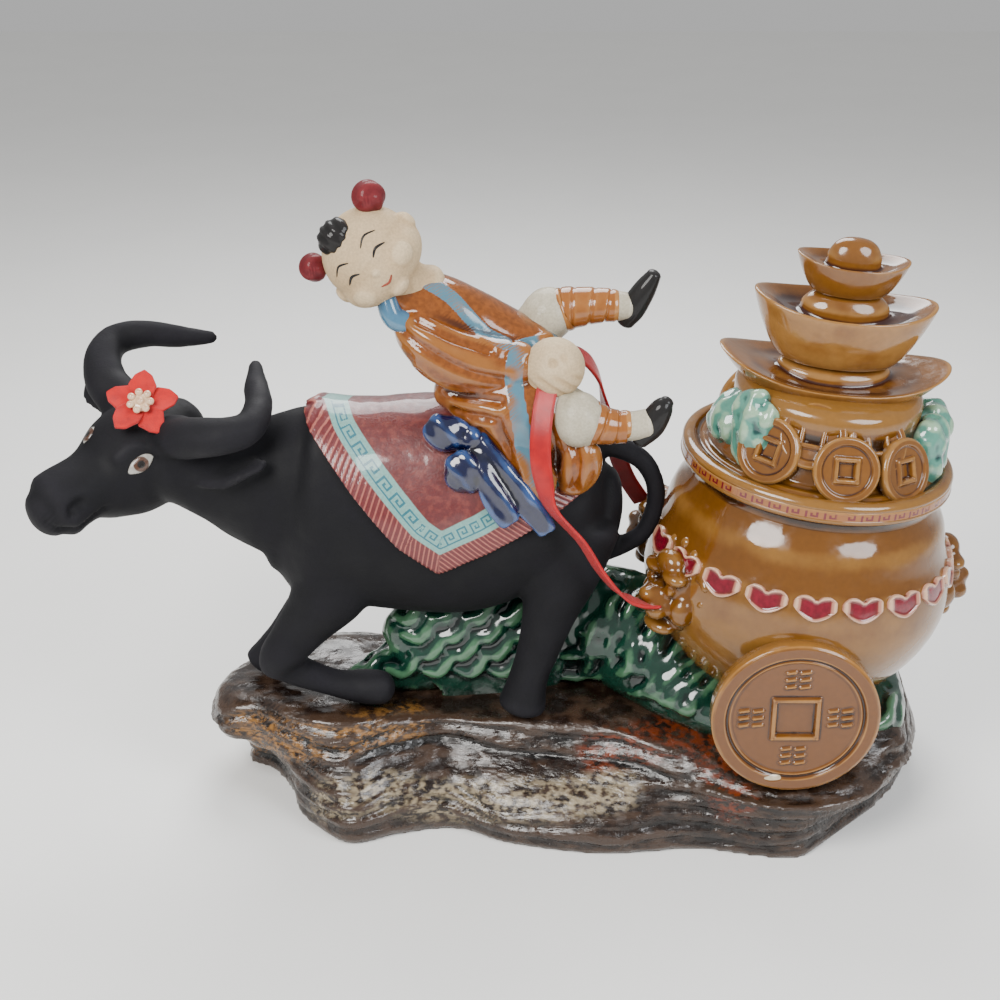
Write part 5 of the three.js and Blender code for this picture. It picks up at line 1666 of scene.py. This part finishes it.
@dataclass(frozen=True)
class RockBase:
    """The overhanging rock, and the grass that props the belly and carries the pot."""

    ground: float = 44.0
    ledge: float = 35.0
    # Foot and ledge outlines seen from above, as matched pairs: foot x, foot y, ledge x, ledge y
    outline: tuple = (
        (-109, 12, -122, 2), (-98, 4, -116, -14), (-88, -12, -102, -17), (-82, -30, -83, -28),
        (-62, -49, -64, -33), (-42, -43, -47, -27), (-18, -39, -24, -20), (4, -49, 0, -26),
        (40, -56, 38, -31), (78, -53, 72, -46), (100, -57, 96, -62), (120, -59, 117, -67),
        (137, -44, 140, -63), (158, -22, 160, -42), (172, 0, 171, -18), (178, 28, 174, 20),
        (168, 58, 168, 58), (122, 76, 122, 80), (70, 62, 70, 64), (10, 54, 10, 54),
        (-45, 52, -50, 54), (-85, 42, -92, 43), (-106, 26, -117, 24),
    )
    # Levels of the side: height, and how far the outline has gone from foot to ledge
    levels: tuple = ((0, 0), (9, -0.05), (18, 0.25), (25, 0.65), (31, 1))
    insets: tuple = ((0.05, 5.0), (0.1, 1.6), (0.22, 0.0), (0.6, 0.0), (0.9, 0.0))
    belly_grass: tuple = (
        (-62, 6, 46, 6, 4), (-49, 5.5, 49, 7, 8), (-39, 5, 53, 8.5, 14), (-31, 5, 59, 10.5, 25),
        (-14, 5, 62, 11, 27), (10, 5, 62, 11, 28), (24, 6, 60, 9, 26),
    )
    cart_grass: tuple = (
        (26, 8, 60, 9, 22), (37, 8, 69, 14, 28), (50, 8, 69, 19, 26), (62, 6, 62, 26, 24), (78, 5, 51, 36, 19),
        (105, 5, 45, 45, 15), (140, 5, 43, 44, 14), (162, 5, 41, 32, 12),
    )
    # Runs of leaves as pixels: first root, first tip, step to the next leaf, count, step to the next row, rows
    leaf_runs: tuple = (
        ((352, 668), (400, 650), (34, 0), 5, (8, -17), 4),
        ((540, 700), (590, 655), (22, -2), 5, (10, -22), 4),
        ((640, 690), (686, 672), (16, 8), 3, (8, -16), 3),
        ((860, 700), (884, 664), (14, 10), 4, (8, 22), 3),
    )
    ochre: Pixels = ((245, 730), (300, 742), (350, 735), (410, 722))
    rust: Pixels = ((600, 752), (640, 745), (700, 728), (735, 800))
    cream: Pixels = ((330, 800), (380, 790), (430, 800), (560, 800), (620, 790))

    def rock_top(self, x: Array, y: Array) -> Array:
        """Give the height of the rolling top, which drops to a shelf in front of the near wheel."""
        roll = 1.6 * np.sin(x / 17.0) + 1.2 * np.sin(y / 11.0 + x / 29.0)
        shelf = smoothstep(-y, 30.0, 50.0) * smoothstep(x, 55.0, 85.0)
        return (self.ground + roll) * (1.0 - shelf) + self.ledge * shelf

    def rock(self, studio: Studio) -> Skin:
        """Melt the rock from rings and cut flowing strata into its sides."""
        foot_x, foot_y, ledge_x, ledge_y = sample(self.outline, 400, closed=True).T
        rings = []
        for z, out in sample(self.levels, 14):
            x, y = foot_x + (ledge_x - foot_x) * out, foot_y + (ledge_y - foot_y) * out
            rings.append(np.stack([x, y, np.full_like(x, max(z, 0.0))], axis=1))
        for inset, edge in self.insets:
            x = ledge_x + (np.clip(ledge_x, -85.0, 130.0) - ledge_x) * inset
            y = ledge_y + (6.0 - ledge_y) * inset
            rings.append(np.stack([x, y, self.rock_top(x, y) - edge], axis=1))
        skin = studio.fused([stack(np.stack(rings))], 1.5, 2)
        p = skin.points
        warp = 7.0 * noise(p, (34.0, 34.0, 16.0), 1, 2)
        strata = np.sin((p[:, 2] + warp) * 0.95) + 0.5 * np.sin(p[:, 2] * 2.1 + 1.7 * warp)
        side = 1.0 - smoothstep(skin.normals()[:, 2], 0.35, 0.85)
        height = (0.9 * strata + 1.6 * noise(p, (16.0, 16.0, 9.0), 2, 3)) * side
        height = height + (1.0 - side) * 0.9 * noise(p, (14.0, 9.0, 9.0), 6, 3)
        skin.lifted(height * smoothstep(p[:, 2], 0.4, 4.0))
        skin.points[:, 2] = np.maximum(skin.points[:, 2], 0.0)
        seen = studio.view.pixels(skin.points)
        for name, path, reach in (("ochre", self.ochre, 26.0), ("rust", self.rust, 30.0), ("cream", self.cream, 28.0)):
            away, _ = path_distance(seen, np.asarray(path, dtype=float))
            skin.tags[name] = (1.0 - smoothstep(away, reach * 0.4, reach)) * (skin.points[:, 1] < 20.0)
        return skin.glazed(4)

    def leaves(self, studio: Studio, mounds: Skin) -> list[Skin]:
        """Lay overlapping curved leaves on the mounds, and mirror them to the far side."""
        tree = mounds.tree()
        leaves = []
        for root, tip, step, count, row_step, rows in self.leaf_runs:
            for row, k in np.ndindex(rows, count):
                shift = np.array(step) * (k + 0.5 * (row % 2)) + np.array(row_step) * row
                start, end = np.array(root) + shift, np.array(tip) + shift
                bow = np.array([end[1] - start[1], start[0] - end[0]]) * 0.16
                line = [start, start * 0.7 + end * 0.3 - bow, start * 0.35 + end * 0.65, end + bow * 0.3]
                spots, _ = studio.view.spots(tree, [tuple(p) for p in line])
                if len(spots) < 4 or np.ptp(spots[:, 1]) > 26.0:
                    continue
                sizes = np.array([[1.6, 1.2], [3.6, 2.2], [3.0, 2.0], [0.7, 0.6]])
                leaf = loft(np.concatenate([spots, sizes], axis=1), 26, 14, (0.0, 0.4, 1.0))
                leaves += [leaf, leaf.mirrored(CART_Y)]
        LOG.info("%d leaves", len(leaves))
        return leaves

    def build(self, studio: Studio) -> None:
        """Add the rock and the grass."""
        studio.piece("rock", self.rock(studio), ROCK, Node.ROCK, Slot.ROCK)
        mounds = [loft(self.belly_grass, 50, 48), loft(self.cart_grass, 70, 64)]
        grass = studio.fused(mounds + self.leaves(studio, joined(mounds)), 1.1, 2)
        grass.lifted(0.35 * noise(grass.points, 4.0, 7, 2))
        studio.piece("grass", grass.glazed(3), GRASS, Node.ROCK, Slot.ROCK)


# The flower on the forehead


@dataclass(frozen=True)
class Flower:
    """The felt flower on the buffalo's forehead, with a cluster of beads."""

    petals: int = 5
    length: float = 14.5
    width: float = 11.0
    thick: float = 1.1
    lifts: tuple[float, float] = (-0.12, -0.28)
    facing: tuple[float, float, float] = (0.05, -0.62, 0.78)
    bead: float = 1.5
    ring: float = 3.9
    height: float = 3.4
    count: int = 7

    def stand(self, points: Array) -> Array:
        """Carry points from the flower's own frame, where it faces +Z, to the forehead."""
        normal = unit(np.array(self.facing))
        turn = Vector((0, 0, 1)).rotation_difference(Vector(normal)).to_matrix()
        return points @ np.array(turn).T + HeadFrame().at(0.0, 6.0, 11.5)

    def petal(self, number: int) -> Skin:
        """Make one petal: widest past the middle, creased along its length and curled at the tip."""
        s = np.linspace(0.0, 1.0, 26)[:, None]
        t = np.linspace(-1.0, 1.0, 17)[None]
        half = np.interp(s, [0.0, 0.3, 0.55, 0.85, 1.0], [0.4, 0.78, 1.0, 0.6, 0.04]) * self.width / 2.0
        z = 0.9 * np.abs(t) ** 1.4 * np.sin(s * math.pi) - 1.2 * s**2 + 0.35 * np.sin(s * 9.0 + number) * t
        under = np.stack([s * self.length + 0.0 * t, half * t, z], axis=-1)
        top = under + np.array([0.0, 0.0, self.thick])
        skin = stack(np.concatenate([top, under[:, ::-1]], axis=1)[:, ::-1])
        lift, turn = self.lifts[number % 2], 2.0 * math.pi * number / self.petals + 0.3
        a = np.array([[math.cos(lift), 0, -math.sin(lift)], [0, 1, 0], [math.sin(lift), 0, math.cos(lift)]])
        b = np.array([[math.cos(turn), math.sin(turn), 0], [-math.sin(turn), math.cos(turn), 0], [0, 0, 1]])
        skin.points = self.stand(skin.points @ a @ b)
        return skin

    def build(self, studio: Studio) -> None:
        """Add the petals and the beads."""
        petals = joined([self.petal(k) for k in range(self.petals)])
        studio.piece("flower_felt", petals, FELT, Node.PETALS, Slot.FELT)
        turn = 2.0 * math.pi * np.arange(self.count) / self.count
        centres = np.stack([self.ring * np.cos(turn), self.ring * np.sin(turn), 0.0 * turn], axis=1)
        centres = np.concatenate([centres, np.zeros((1, 3))]) + np.array([0.0, 0.0, self.height + self.bead * 0.6])
        beads = [ball(c, (self.bead,) * 3, detail=14) for c in centres]
        beads.append(ball((0, 0, self.height - 0.4), (self.ring, self.ring, 1.4), detail=14))
        cluster = joined(beads)
        cluster.points = self.stand(cluster.points)
        studio.piece("flower_pearls", cluster.glazed(2), BEAD, Node.BEADS, Slot.BEADS)


# Floor and light


@dataclass(frozen=True)
class Setting:
    """The pale floor and the soft studio light."""

    floor: float = 3000.0
    # Lights as place, size, power and colour
    lights: tuple = (
        ((-420, -620, 760), 520, 12.5, (1.0, 0.98, 0.95)),
        ((520, -420, 520), 420, 5.0, (0.95, 0.97, 1.0)),
        ((0, 420, 620), 480, 5.5, (1.0, 1.0, 1.0)),
    )
    sky: float = 0.5

    def build(self, studio: Studio) -> None:
        """Add the floor, the lights and the sky."""
        half = self.floor / 2.0
        corners = np.array([[-half, -half, 0], [half, -half, 0], [half, half, 0], [-half, half, 0]], dtype=float)
        floor = bpy.data.objects.new("floor", studio.mesh("floor", Skin(corners, np.array([[0, 1, 2, 3]]))))
        bpy.context.scene.collection.objects.link(floor)
        floor.data.materials.append(studio.finish(FLOOR))
        for number, (place, size, power, colour) in enumerate(self.lights):
            data = bpy.data.lights.new(f"light_{number}", "AREA")
            data.shape = "DISK"
            data.size = size * MM
            data.energy = power
            data.color = colour
            lamp = bpy.data.objects.new(data.name, data)
            lamp.location = studio.place.row(np.array(place, dtype=float))
            aim = Vector(studio.place.row(np.array(studio.view.target))) - lamp.location
            lamp.rotation_euler = aim.to_track_quat("-Z", "Y").to_euler()
            bpy.context.scene.collection.objects.link(lamp)
        world = bpy.data.worlds.new("sky")
        world.use_nodes = True
        background = world.node_tree.nodes["Background"]
        background.inputs["Color"].default_value = (1.0, 1.0, 1.0, 1.0)
        background.inputs["Strength"].default_value = self.sky
        bpy.context.scene.world = world


def main() -> None:
    """Build the group in order: camera and ribbon first, then each figure from the front to the back."""
    logging.basicConfig(level=logging.INFO, format="%(message)s")
    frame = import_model()
    LOG.info("frame loaded: %s", bool(frame))
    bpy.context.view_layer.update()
    studio = Studio(Place.from_frame(), Viewpoint())
    studio.view.shoot(studio.place)
    Ribbon().build(studio)
    buffalo = Buffalo()
    skin = buffalo.build(studio)
    SaddleCloth().build(studio, buffalo, skin)
    BoyHead().build(studio)
    BoyBody().build(studio)
    TreasurePot().build(studio)
    CoinWheel(Node.NEAR_WHEEL).build(studio)
    CoinWheel(Node.FAR_WHEEL, hand=-1.0).build(studio)
    RockBase().build(studio)
    Flower().build(studio)
    Setting().build(studio)


if __name__ == "__main__":
    main()
